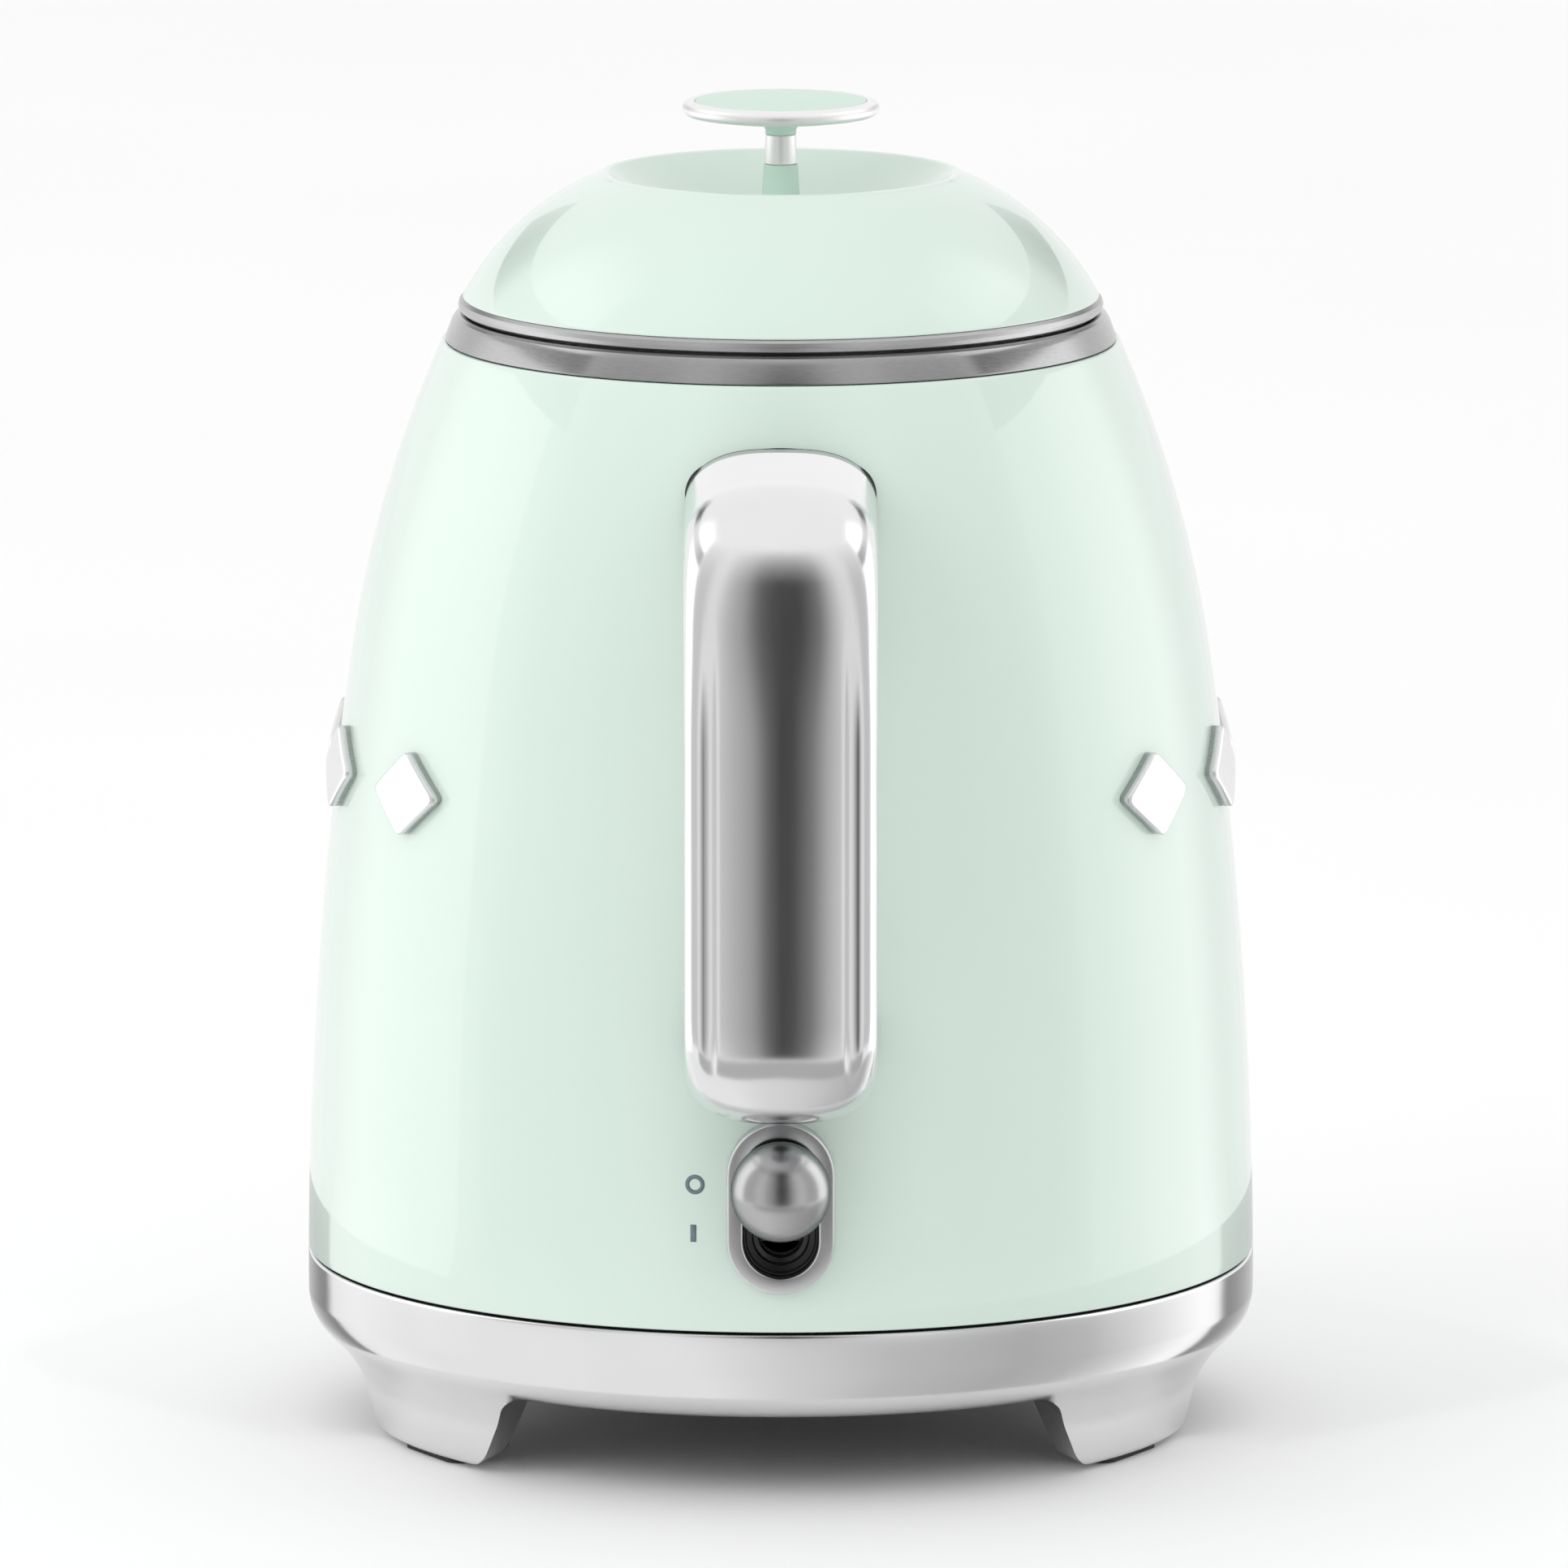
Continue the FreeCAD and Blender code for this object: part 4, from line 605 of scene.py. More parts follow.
def sweep_grip(name, section):
    loops = []
    for spot in grip_path():
        loop = carry(section, spot)
        clear = all(point.y <= ended.y - 0.0012 for point, ended in zip(loop, end_at_wall(loop)))
        if clear or spot[2] not in (0.0, math.pi):
            loops.append(loop)
    loops.insert(0, end_at_wall(loops[0]))
    loops.append(end_at_wall(loops[-1]))
    return skin(name, loops, caps=True)


def make_handle():
    """The outer half, with its crowned spine between two valleys and rounded strips, and the inner half."""
    edge, shoulder = GRIP_WIDE, (SPINE_WIDE - 1.0, SPINE_EDGE + 0.62)
    right = arc(shoulder, (SPINE_WIDE + 0.3, SPINE_EDGE - 0.42), (SPINE_WIDE + 1.5, SPINE_EDGE - 0.55), 7)
    right += arc((SPINE_WIDE + 1.6, SPINE_EDGE - 0.6), (edge - 0.75, SPINE_EDGE - 2.3), (edge, 0.0), 12)[1:]
    crown = arc((-shoulder[0], shoulder[1]), (0, GRIP_DEEP), shoulder, 30)
    left = [(-across, away) for across, away in reversed(right)]
    seam = -GRIP_SEAM
    outer = left + crown[1:-1] + right
    outer = [(-edge + 0.25, seam), (-edge, seam + 0.25)] + outer + [(edge, seam + 0.25), (edge - 0.25, seam)]
    settle(sweep_grip("grip_front", outer), "kettle", CHROME, "handle_outer", slot="chrome_plate")
    low = -GRIP_DEEP
    corner = arc((edge - 0.35, seam - 0.3), (edge - 2.2, low + 2.0), (edge - 7.5, low), 12)
    inner = [(edge - 0.6, seam - 0.02)] + corner
    inner += [(-across, away) for across, away in reversed(inner)]
    settle(sweep_grip("grip_back", inner), "kettle", CHROME, "handle_inner", slot="grey_plastic")


# ------------------------ switch

BEZEL_WIDE = 8.3
BEZEL_TALL = 13.45
BEZEL_FRONT = BODY_RADIUS + 2.0
PIVOT_OUT = 64.0
BALL_REACH = 24.73
BALL_RADIUS = 7.75
LEVER_ANGLE = math.radians(11.4)
OFF_MARK = (-13.35, 51.3)
ON_MARK = (-13.6, 43.65)


def stadium(half_width, half_height, out, count=24):
    """An upright slot outline at a distance towards the handle."""
    points = []
    straight = half_height - half_width
    for end, sign in ((straight, 1), (-straight, -1)):
        for step in range(count + 1):
            turn = math.pi * step / count
            points.append((half_width * math.cos(turn) * sign, end + half_width * math.sin(turn) * sign))
    return [place(across, -out, SWITCH_HEIGHT + up) for across, up in points]


def stadium_ring(name, out, steps):
    """A closed skin through slot outlines: (inset from the bezel's edge, rise above out)."""
    loops = [stadium(BEZEL_WIDE - inset, BEZEL_TALL - inset, out + rise) for inset, rise in steps]
    return skin(name, loops, close=True)


def make_switch():
    back = BODY_RADIUS - BEZEL_FRONT
    settle(stadium_ring("switch_ring", BEZEL_FRONT, (
        (0, back - 1.6), (0, -0.45), (0.05, -0.2), (0.16, -0.06), (0.32, 0), (1.2, 0), (2.1, 0),
        (2.28, -0.06), (2.42, -0.2), (2.48, -0.5), (2.5, back - 1.6), (1.4, back - 2.2),
    )), "kettle", BEZEL_CHROME, "switch_bezel", slot="chrome_plate")
    settle(stadium_ring("switch_cup", BODY_RADIUS - 1.0, (
        (2.52, 0.6), (2.75, 0.6), (2.9, 0.4), (2.95, -0.6), (3.1, -0.75), (3.75, -0.8), (3.9, -0.95),
        (3.95, -2.0), (4.1, -2.15), (4.7, -2.2), (4.85, -2.35), (4.9, -3.4), (5.0, -3.5), (5.0, -5.6),
        (2.0, -5.6), (2.0, -1.6),
    )), "kettle", WELL_PLASTIC, "switch_well", slot="black_plastic")
    settle(make_ball(), "switch", BALL_CHROME, "switch_ball", slot="satin_chrome")


def make_ball():
    """The lever's ball, with a small flat collar where its stem goes in."""
    slopes = [math.pi * step / 96 for step in range(2, 86)]
    outline = [(0, BALL_RADIUS)]
    outline += [(BALL_RADIUS * math.sin(slope), BALL_RADIUS * math.cos(slope)) for slope in slopes]
    outline += [(2.9, 0.42 - BALL_RADIUS), (2.45, 0.5 - BALL_RADIUS)]
    outline += [(2.2, 1.2 - BALL_RADIUS), (0, 1.2 - BALL_RADIUS)]
    outwards = Vector((0, -math.cos(LEVER_ANGLE), math.sin(LEVER_ANGLE)))
    centre = place(0, -PIVOT_OUT, SWITCH_HEIGHT) + outwards * BALL_REACH * MM
    side = Vector((1, 0, 0))
    upwards = outwards.cross(side)
    turns = 128
    points, rows = [], []
    for radius, along in outline:
        if radius == 0:
            rows.append([len(points)] * turns)
            points.append(centre + outwards * along * MM)
            continue
        rows.append(list(range(len(points), len(points) + turns)))
        for turn in range(turns):
            angle = math.tau * turn / turns
            around = side * math.cos(angle) + upwards * math.sin(angle)
            points.append(centre + (around * radius + outwards * along) * MM)
    faces = []
    for low, high in zip(rows, rows[1:]):
        for turn in range(turns):
            after = (turn + 1) % turns
            faces.append(tuple(dict.fromkeys((low[turn], low[after], high[after], high[turn]))))
    return face_outwards(new_mesh("lever_ball", points, faces))


def on_wall(across, up, proud):
    """A point on the wall near the handle's side, by its distance across, its height and its rise."""
    radius = wall_radius(up) + proud
    return polar(radius, across / radius, up)


def make_marks():
    """The printed O and I beside the switch."""
    turns = [math.tau * step / 64 for step in range(64)]
    ring_spots = [(math.cos(turn), math.sin(turn)) for turn in turns]
    across, up = OFF_MARK
    loops = []
    for radius, proud in ((0.88, 0.01), (0.88, 0.045), (1.525, 0.045), (1.525, 0.01)):
        loops.append([on_wall(across + radius * x, up + radius * y, proud) for x, y in ring_spots])
    settle(skin("mark_off", loops, close=True), "kettle", INK, even=False)
    bar = [(-0.47, -1.35), (0.47, -1.35), (0.47, 1.35), (-0.47, 1.35)]
    across, up = ON_MARK
    loops = [[on_wall(across + x, up + y, proud) for x, y in soften(bar, 0.08)] for proud in (0.01, 0.045)]
    settle(skin("mark_on", loops, caps=True), "kettle", INK, even=False)


# ------------------------ badges

BADGE_WIDE = 8.4
BADGE_TALL = 6.8
BADGE_HEIGHT = 107.0
BADGE_PITCH = 29.4
BADGE_PROUD = 2.0


def lozenge(inset):
    """A rounded diamond, drawn inwards by an amount."""
    slope = math.hypot(BADGE_WIDE, BADGE_TALL) / BADGE_TALL
    wide = BADGE_WIDE - inset * slope
    tall = wide * BADGE_TALL / BADGE_WIDE
    corners = [(wide, 0), (0, tall), (-wide, 0), (0, -tall)]
    dense = []
    for here, after in zip(corners, corners[1:] + corners[:1]):
        for step in range(16):
            dense.append(tuple(old + (new - old) * step / 16 for old, new in zip(here, after)))
    return round_corners(dense, 3)


def round_corners(points, times):
    """Average an outline a few times, which rounds its corners and leaves its sides straight."""
    for _ in range(times):
        beside = zip(points[-1:] + points[:-1], points, points[1:] + points[:1])
        points = [tuple((a + 2 * b + c) / 4 for a, b, c in zip(*spots)) for spots in beside]
    return points


def make_badges():
    """Plain raised lozenges round each side, with bevelled fronts."""
    steps = ((0, -0.3), (0, BADGE_PROUD - 0.5), (0.1, BADGE_PROUD - 0.2), (0.32, BADGE_PROUD - 0.05))
    steps += ((0.6, BADGE_PROUD), (2.0, BADGE_PROUD), (4.0, BADGE_PROUD))
    pitch = BADGE_PITCH / BELLY[0]
    for side, middle in (("right", math.pi / 2), ("left", -math.pi / 2)):
        points, faces = [], []
        for count in (-1.5, -0.5, 0.5, 1.5):
            centre = middle + pitch * count
            first = len(points)
            for inset, proud in steps:
                for across, rise in lozenge(inset):
                    up = BADGE_HEIGHT + rise
                    points.append(polar(wall_radius(up) + proud, centre + across / WAIST[0], up))
            size = len(lozenge(0))
            for row in range(len(steps) - 1):
                low, high = first + row * size, first + (row + 1) * size
                for spot in range(size):
                    after = (spot + 1) % size
                    faces.append((low + spot, low + after, high + after, high + spot))
            faces.append(tuple(first + spot for spot in reversed(range(size))))
            faces.append(tuple(first + (len(steps) - 1) * size + spot for spot in range(size)))
        badges = face_outwards(new_mesh(side + "_lozenges", points, faces))
        settle(badges, "kettle", BADGE_METAL, side + "_badges", slot="chrome_plate")


# ------------------------ lid

LIP = (27.7, 199.5)
CROWN = (40.8, 191.6)
LID_EDGE = (50.2, 179.8)
DISH = 189.4
BOLT = 1.3
POST = 3.2
POST_TOP = 200.7
SLEEVE = 2.6
SLEEVE_TOP = 205.4
KNOB_LOW = 207.2
INLAY = 13.5


def make_lid():
    settle(lathe("lid_shell", [
        LID_EDGE + CROWN,
        (LIP[0] + 1, LIP[1] - 0.45) + LIP,
        (LIP[0] - 1, LIP[1] - 0.5, LIP[0] * 0.52, DISH + 2.6),
        (POST + 1, DISH + 0.15), (BOLT, DISH + 0.15), (BOLT, DISH - 1.1),
        (POST + 1.2, DISH - 1.1, LIP[0] * 0.52, DISH + 1.3),
        (LIP[0] - 1.2, LIP[1] - 2.2),
        (LIP[0] + 0.4, LIP[1] - 1.9, CROWN[0] - 0.9, CROWN[1] - 0.95),
        (LID_EDGE[0] - 1.2, LID_EDGE[1]),
    ], soft=0.3), "lid", PAINT, "lid_dome", slot="mint_paint")
    settle(lathe("lid_bead", [
        (47.6, 177.5), (50.0, 177.5, 50.8, 178.65), (50.0, 179.78), (47.6, 179.78),
    ], soft=0.2), "lid", BEAD_STEEL, "lid_trim_ring", slot="chrome_plate")


def make_knob():
    settle(lathe("knob_stem", [
        (BOLT, DISH + 0.2), (POST + 0.9, DISH + 0.2, POST + 0.15, DISH + 0.9), (POST, DISH + 2.4),
        (POST - 0.5, POST_TOP), (BOLT, POST_TOP),
    ], soft=0.2, turns=96), "lid", KNOB_PAINT, "knob_post", slot="mint_paint")
    settle(lathe("knob_tube", [
        (BOLT, POST_TOP + 0.02), (SLEEVE, POST_TOP + 0.02), (SLEEVE - 0.2, SLEEVE_TOP), (BOLT, SLEEVE_TOP),
    ], soft=0.2, turns=96), "lid", KNOB_SILVER, "knob_sleeve", slot="chrome_plate")
    settle(lathe("knob_flare", [
        (BOLT, SLEEVE_TOP + 0.02), (SLEEVE - 0.15, SLEEVE_TOP + 0.02, SLEEVE - 0.05, KNOB_LOW - 0.8),
        (SLEEVE + 1.2, KNOB_LOW), (BOLT, KNOB_LOW),
    ], soft=0.12, turns=96), "lid", KNOB_PAINT, "knob_neck", slot="mint_paint")
    settle(lathe("knob_plate", [
        (BOLT, KNOB_LOW + 0.02), (KNOB_RADIUS * 0.4, KNOB_LOW + 0.3), (KNOB_RADIUS * 0.75, KNOB_LOW + 0.8),
        (KNOB_RADIUS - 1.5, KNOB_LOW + 1.3, KNOB_RADIUS, KNOB_LOW + 2.5), (KNOB_RADIUS - 1.2, KNOB_TOP - 0.3),
        (INLAY + 0.05, KNOB_TOP - 0.2), (INLAY + 0.05, KNOB_TOP - 1.2), (BOLT, KNOB_TOP - 1.2),
    ], soft=0.3, turns=192, step=0.3), "lid", KNOB_SILVER, "knob_disc", slot="chrome_plate")
    settle(lathe("knob_cap", [
        (0, KNOB_TOP - 1.15), (INLAY, KNOB_TOP - 1.15), (INLAY, KNOB_TOP - 0.25, 8.1, KNOB_TOP - 0.08),
        (1, KNOB_TOP), (0, KNOB_TOP),
    ], soft=0.2, turns=192), "lid", KNOB_PAINT, "knob_inlay", slot="mint_paint")


# ------------------------ power base

RING_BOTTOM = 13.4
RING_ROUND = 8.0
LEG_OUT = 66.0
LEG_DEPTH = 8.0
LEG_INSIDE = LEG_OUT - LEG_DEPTH
BASE_WALL = 2.2
FLANGE_RADIUS = 52.0
FLANGE_TOP = RING_BOTTOM + 2.0
WINDOW_TOP = 42.2
WINDOW_LOW = 49.4
WINDOW_TAPER = 0.42
CORNER = 2.6
FOOT_CORNER = 2.8
KNEE = (LEG_OUT + 0.95, 8.2)
RING_STEPS = 26
# How far the leg part of the outline hangs down, column by column, round a leg's side face.
SIDE_DEPTHS = (1, 0.985, 0.95, 0.9, 0.8, 0.66, 0.5, 0.34, 0.2, 0.1, 0.04, 0.0)
COLUMN_ANGLE = math.radians(0.35)


def window_angle(radius, up):
    """Half the angle of the gap between two legs at a radius and height, with rounded corners."""
    rise = (RING_BOTTOM - up) / (RING_BOTTOM - LEG_BOTTOM)
    half = WINDOW_TOP + (WINDOW_LOW - WINDOW_TOP) * rise - WINDOW_TAPER * FLANGE_RADIUS
    below = RING_BOTTOM - up
    if below < CORNER:
        half -= CORNER - math.sqrt(CORNER ** 2 - (CORNER - below) ** 2)
    above = up - LEG_BOTTOM
    if above < FOOT_CORNER:
        half += FOOT_CORNER - math.sqrt(FOOT_CORNER ** 2 - (FOOT_CORNER - above) ** 2)
    tilt = math.atan(WINDOW_TAPER)
    return tilt + math.asin(half / (radius * math.hypot(1, WINDOW_TAPER)))


def curve(first, pull, push, last, count):
    """Points along a smooth curve that leaves first towards pull and reaches last from push."""
    points = []
    for step in range(count + 1):
        share = step / count
        rest = 1 - share
        weights = (rest ** 3, 3 * rest ** 2 * share, 3 * rest * share ** 2, share ** 3)
        points.append(tuple(
            sum(weight * value for weight, value in zip(weights, values))
            for values in zip(first, pull, push, last)
        ))
    return points


def ring_outline():
    """The ring's outer round between the legs, from its side to its underside, and the same number of
    points along the leg's flowing outer face."""
    middle_out, middle_up = BASE_RADIUS - RING_ROUND, RING_BOTTOM + RING_ROUND
    turns = [math.pi / 2 * step / RING_STEPS for step in range(RING_STEPS + 1)]
    plain = [
        (middle_out + RING_ROUND * math.cos(turn), middle_up - RING_ROUND * math.sin(turn)) for turn in turns
    ]
    half = RING_STEPS // 2
    return plain, plain[:half] + curve(plain[half], (70.7, 13.8), (68.6, 12.2), KNEE, RING_STEPS - half)


def leg_outline():
    """The leg's outline from the end of its flowing outer face, down, under and up to its inner root."""
    fall, foot = KNEE[1] - LEG_BOTTOM - 1.6, LEG_BOTTOM + 0.9
    side = [(KNEE[0] - 0.9 * step / 6, KNEE[1] - fall * step / 6) for step in range(1, 7)]
    bottom = [(LEG_OUT - 0.08, foot), (LEG_OUT - 0.42, LEG_BOTTOM + 0.35), (LEG_OUT - 1.3, LEG_BOTTOM)]
    bottom += [(LEG_OUT - 1.3 - (LEG_DEPTH - 2.2) * step / 8, LEG_BOTTOM) for step in range(1, 9)]
    inner = [(LEG_INSIDE + 0.25, LEG_BOTTOM + 0.3), (LEG_INSIDE, foot)]
    inner += [(LEG_INSIDE, foot + (RING_BOTTOM - foot) * step / 12) for step in range(1, 13)]
    return side + bottom + inner


def make_base_ring():
    """The chrome ring with three legs. Columns run round it; each column is one closed outline whose leg
    part is drawn up to the ring's underside between the legs."""
    inside = BASE_RADIUS - BASE_WALL
    upper = [(FLANGE_RADIUS, RING_BOTTOM), (FLANGE_RADIUS, FLANGE_TOP)]
    upper += arc((inside - 3, FLANGE_TOP), (inside - 0.88, FLANGE_TOP + 0.88), (inside, FLANGE_TOP + 3), 6)
    upper += [(inside, BASE_TOP - 0.3), (inside + 0.3, BASE_TOP), (BASE_RADIUS - 0.5, BASE_TOP)]
    upper += [(BASE_RADIUS - 0.14, BASE_TOP - 0.14), (BASE_RADIUS, BASE_TOP - 0.5), (BASE_RADIUS, 24.5)]
    plain, flowing = ring_outline()
    leg = leg_outline()
    steps = len(SIDE_DEPTHS) - 1
    columns = []

    def rise(up):
        """0 at the ring's underside, 1 from 10 mm above it."""
        return min(1.0, max(0.0, (up - RING_BOTTOM) / 10))

    def spread_angle(radius, up, count):
        """The leg's half angle at a point; columns further round its side stand further out."""
        root = RING_BOTTOM - 0.45 * (1 - count / steps)
        return math.pi / 3 - window_angle(max(radius, LEG_INSIDE), min(up, root))

    def column(centre, side, share, count):
        """share runs over the leg from 0 at its middle to 1 at its edge. count is how far the column has
        moved on round the leg's side face, which draws the leg part up to the ring's underside."""
        depth = SIDE_DEPTHS[count]
        outline = list(upper)
        for simple, flow in zip(plain, flowing):
            outline.append(tuple(old + (new - old) * depth for old, new in zip(simple, flow)))
        outline += [(radius, RING_BOTTOM - (RING_BOTTOM - up) * depth) for radius, up in leg]
        points = []
        for radius, up in outline:
            angle = spread_angle(radius, up, count) * share + count * COLUMN_ANGLE * rise(up)
            points.append(polar(radius, centre + side * angle, up))
        return points

    for degrees in (60, 180, 300):
        centre = math.radians(degrees)
        shares = [step / 14 for step in range(14)]
        columns += [column(centre, -1, 1.0, count) for count in range(steps, -1, -1)]
        columns += [column(centre, -1, share, 0) for share in reversed(shares)]
        columns += [column(centre, 1, share, 0) for share in shares[1:]]
        columns += [column(centre, 1, 1.0, count) for count in range(steps + 1)]
        for step in range(1, 40):
            share = step / 20 - 1
            points = []
            for radius, up in upper + plain + [(radius, RING_BOTTOM) for radius, up in leg]:
                edge = window_angle(max(radius, LEG_INSIDE), RING_BOTTOM) - steps * COLUMN_ANGLE * rise(up)
                points.append(polar(radius, centre + math.pi / 3 + edge * share, up))
            columns.append(points)
    ring = skin("base_ring", columns, close=True)
    settle(ring, "power_base", BASE_CHROME, "base_shell", slot="chrome_plate")


# ------------------------ CAD nodes that stay


def dress_nodes():
    """Give every CAD node that stays on show its procedural material."""
    by_slot = {
        "mint_paint": PAINT, "chrome_plate": CHROME, "satin_chrome": BALL_CHROME, "steel": FASTENER_STEEL,
        "aluminium_plate": ALUMINIUM, "brass_contact": BRASS, "black_plastic": BLACK_PLASTIC,
        "grey_plastic": GREY_PLASTIC, "white_plastic": WHITE_PLASTIC, "black_rubber": RUBBER,
        "silicone": SILICONE,
    }
    own = {
        "filter_mesh": FILTER_NET, "heater_plate": PLATE_STEEL, "lid_insert": PLATE_STEEL,
        "rim_collar": COLLAR_STEEL,
    }
    slots = {entry["node"]: entry["material_slot"] for entry in frame["record"]["subparts"]}
    for name, node in frame["nodes"].items():
        material = own.get(name, by_slot[slots[name]])
        node.data.materials.clear()
        node.data.materials.append(material)


# ------------------------ studio

CARD_POWER = 4.0
CARD_WHITE = 0.96


def make_floor():
    count, reach = 96, 40.0
    turns = [math.tau * step / count for step in range(count)]
    points = [Vector((0, 0, 0))]
    points += [Vector((reach * math.cos(turn), reach * math.sin(turn), 0)) for turn in turns]
    faces = [(0, 1 + step, 1 + (step + 1) % count) for step in range(count)]
    floor = new_mesh("floor", points, faces)
    material, shader = new_material("floor_white", Roughness=0.7, Specular_IOR_Level=0.1)
    colour_by(material, shader, noise(material, 3, 2), (0.93, 0.93, 0.93), (0.95, 0.95, 0.95))
    floor.data.materials.append(material)


def reflection_card(name, rows, shades, low_fade=(-2.0, -1.0), high_fade=(2.0, 3.0)):
    """A curved panel round the kettle that only shows in its reflections. rows gives its distance, height
    and a squeeze of its angles, from the bottom up. shades gives its brightness at angles in degrees,
    counted from the handle. Between the shares of its height in low_fade and high_fade it fades to white."""
    start, stop, count = shades[0][0], shades[-1][0], 96
    points = []
    for distance, up, squeeze in rows:
        for step in range(count + 1):
            turn = math.radians(start + (stop - start) * step / count) / squeeze
            points.append(Vector((distance * math.sin(turn), AXIS.y - distance * math.cos(turn), up)))
    faces = []
    for row in range(len(rows) - 1):
        low, high = row * (count + 1), (row + 1) * (count + 1)
        faces += [(low + step, low + step + 1, high + step + 1, high + step) for step in range(count)]
    card = new_mesh(name, points, faces)
    layer = card.data.uv_layers.new(name="across")
    for loop in card.data.loops:
        row, step = divmod(loop.vertex_index, count + 1)
        layer.data[loop.index].uv = (step / count, (rows[row][1] - rows[0][1]) / (rows[-1][1] - rows[0][1]))
    material = card_material(card)
    parts = add(material, "SeparateXYZ", {"Vector": add(material, "TexCoord").outputs["UV"]})
    ramp = add(material, "ValToRGB", {"Fac": parts.outputs["X"]})
    while len(ramp.color_ramp.elements) < len(shades):
        ramp.color_ramp.elements.new(1.0)
    for element, (angle, bright) in zip(ramp.color_ramp.elements, shades):
        element.position = (angle - start) / (stop - start)
        element.color = (bright / CARD_POWER,) * 3 + (1,)
    rise, fall = (
        add(material, "MapRange", {"Value": parts.outputs["Y"], "From Min": start, "From Max": end})
        for start, end in (high_fade, low_fade[::-1])
    )
    white = add(material, "Math", {0: rise.outputs["Result"], 1: fall.outputs["Result"]}, operation="MAXIMUM")
    blend = add(material, "MixRGB", {"Fac": white.outputs["Value"], "Color1": ramp.outputs["Color"]})
    blend.inputs["Color2"].default_value = (CARD_WHITE / CARD_POWER,) * 3 + (1,)
    glow = add(material, "Emission", {"Color": blend.outputs["Color"], "Strength": CARD_POWER})
    add(material, "OutputMaterial", {"Surface": glow.outputs["Emission"]})


def card_material(card):
    """Hide a card from all but reflections, and give it an empty material."""
    for word in ("camera", "diffuse", "shadow", "transmission", "volume_scatter"):
        setattr(card, "visible_" + word, False)
    material = bpy.data.materials.new(card.name)
    material.use_nodes = True
    material.node_tree.nodes.clear()
    card.data.materials.append(material)
    return material


def root_card():
    """White above the handle's root, for its bend to mirror; clear from behind."""
    spots = [-22 + 2.75 * step for step in range(17)]
    card = skin("root_card", [
        [place(across, -math.sqrt(out ** 2 - across ** 2), up) for across in spots]
        for out, up in ((63.0, 160), (60.5, 168), (58.5, 178), (55.5, 194), (40, 216))
    ], around=False)
    material = card_material(card)
    glow = add(material, "Emission", {"Strength": 1.0})
    clear = add(material, "BsdfTransparent")
    behind = add(material, "NewGeometry").outputs["Backfacing"]
    mix = add(material, "MixShader", {0: behind, 1: glow.outputs["Emission"], 2: clear.outputs["BSDF"]})
    add(material, "OutputMaterial", {"Surface": mix.outputs["Shader"]})


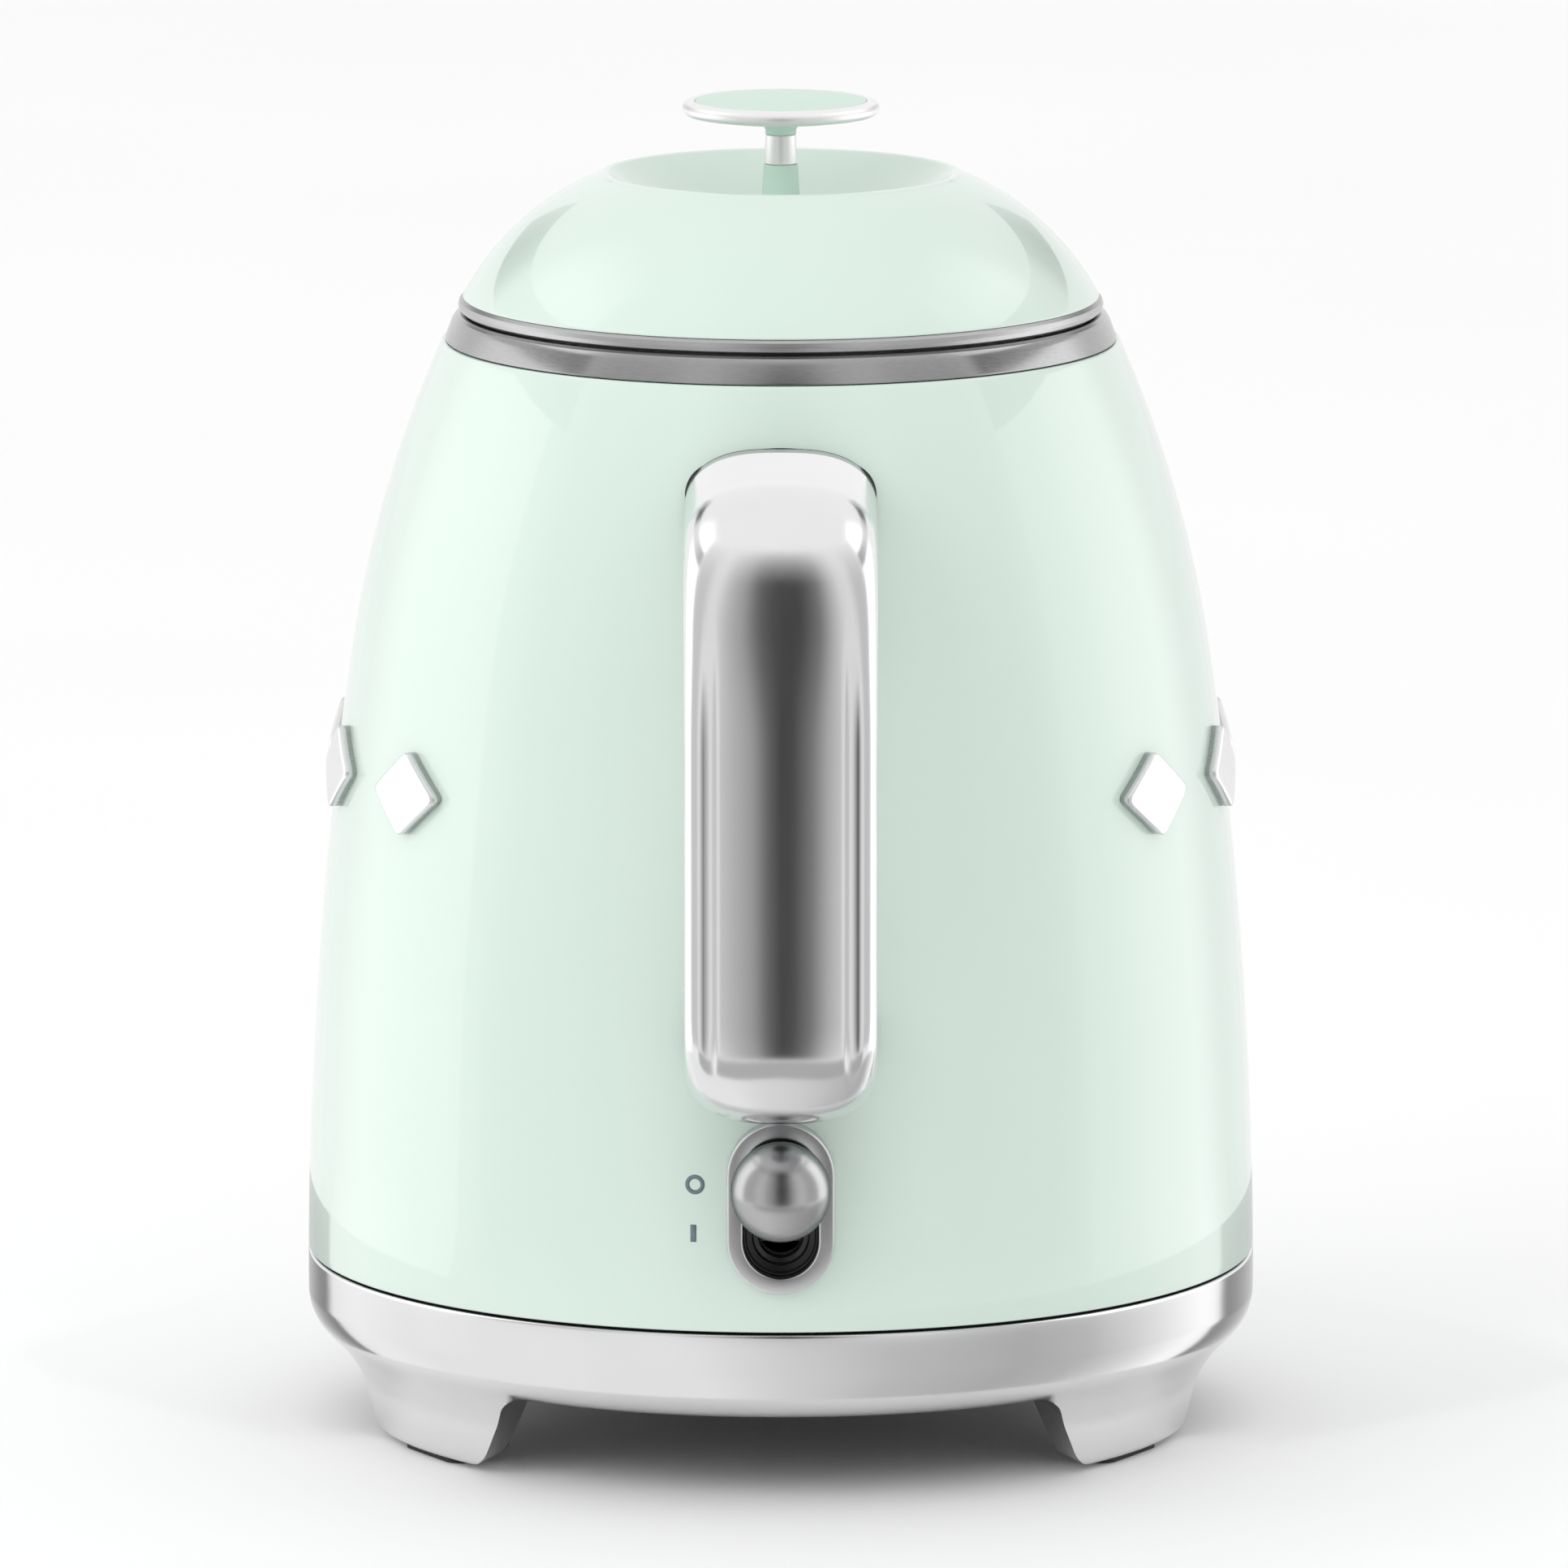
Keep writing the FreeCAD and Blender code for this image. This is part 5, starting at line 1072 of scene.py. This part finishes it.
def make_studio():
    make_floor()
    world = bpy.data.worlds.new("studio")
    bpy.context.scene.world = world
    world.use_nodes = True
    sky = world.node_tree.nodes["Background"]
    sky.inputs["Color"].default_value = (1, 1, 1, 1)
    sky.inputs["Strength"].default_value = 1.0
    bpy.context.scene.view_settings.view_transform = "Standard"
    reflection_card("front_card", ((0.17, 0.014, 1), (0.17, 0.36, 1)), (
        (-64, 0.95), (-56, 0.66), (-38, 0.66), (-28, 0.85), (-22, 0.85), (-15, 0.6), (-7.3, 0.38),
        (-3.5, 0.15), (0, 0.06), (3, 0.07), (8.2, 0.21), (13, 0.5), (20, 0.8), (28, 0.85), (38, 0.62),
        (56, 0.62), (64, 0.95),
    ), (0.0, 0.03), (0.55, 0.95))
    reflection_card("front_floor_card", ((0.1365, 0.0012, 1), (0.34, 0.0016, 1)), (
        (-44, 0.95), (-30, 0.5), (30, 0.46), (44, 0.95),
    ), (-2, -1), (0.4, 1.0))
    by_the_base = ((0.080, 0.0008, 1.45), (0.120, 0.0009, 1.08), (0.134, 0.001, 1), (0.136, 0.02, 1))
    reflection_card("base_card", by_the_base, (
        (-148, 0.85), (-130, 0.5), (-113, 0.15), (-111.5, 1.0), (-95, 1.05), (-77, 0.96), (-45, 0.96),
        (-15, 0.95), (0, 0.78), (20, 0.59), (32, 0.55), (45, 0.50), (59, 0.56), (77, 0.86), (95, 1.2),
        (104, 1.15), (106, 0.2), (122, 0.45), (148, 0.85),
    ))
    beside = ((0.138, 0.001, 1), (0.3, 0.002, 1), (0.3, 0.7, 1))
    reflection_card("left_card", beside, (
        (-128, 1.0), (-113, 1.45), (-99, 1.6), (-82, 1.6), (-76, 1.55), (-75, 1.0),
    ), (-2, -1), (0.6, 0.95))
    reflection_card("right_card", beside, (
        (64, 0.95), (66, 1.2), (80, 1.4), (92, 1.7), (111, 1.75), (122, 1.1), (126, 1.0),
    ), (-2, -1), (0.6, 0.95))
    reflection_card("collar_card", ((0.172, 0.225, 1), (0.172, 0.268, 1)), (
        (-150, 0.6), (-138, 0.12), (-128, 0.15), (-118, 0.9), (-95, 0.85), (-60, 0.35), (-25, 0.2),
        (30, 0.17), (65, 0.3), (85, 0.6), (105, 0.85), (120, 0.7), (130, 0.12), (140, 0.15), (150, 0.6),
    ))
    root_card()
    middle = AXIS + Vector((0, 0, 0.1))
    make_lamp("key", (-1.6, -1.2, 1.3), middle, 1.4, 9)
    make_lamp("fill", (0.4, -1.8, 1.9), middle, 1.6, 2)
    under = make_lamp("under_fill", (AXIS.x, AXIS.y, 0.0125), AXIS, 0.1, 0.004)
    under.data.shape = "DISK"
    under.visible_camera = False


def make_lamp(name, spot, target, size, power):
    """A soft square light that looks at a point and doesn't show in reflections."""
    lamp = bpy.data.objects.new(name, bpy.data.lights.new(name, "AREA"))
    lamp.data.size, lamp.data.energy = size, power
    lamp.location = spot
    aim(lamp, target)
    lamp.visible_glossy = False
    bpy.context.scene.collection.objects.link(lamp)
    return lamp


def aim(thing, target):
    thing.rotation_euler = (target - thing.location).to_track_quat("-Z", "Y").to_euler()


def make_camera():
    """A long lens at the handle's side, looking slightly down."""
    elevation, distance = math.radians(9.6), 2.8
    target = AXIS + Vector((0.0005, 0, 0.1017))
    camera = bpy.data.objects.new("camera", bpy.data.cameras.new("camera"))
    camera.data.lens = 406.3
    camera.data.clip_end = 100
    camera.location = target + distance * Vector((0, -math.cos(elevation), math.sin(elevation)))
    aim(camera, target)
    bpy.context.scene.collection.objects.link(camera)
    bpy.context.scene.camera = camera


make_camera()
make_studio()
dress_nodes()
make_body_wall()
make_spout()
make_collar()
make_handle()
make_switch()
make_marks()
make_badges()
make_lid()
make_knob()
make_base_ring()
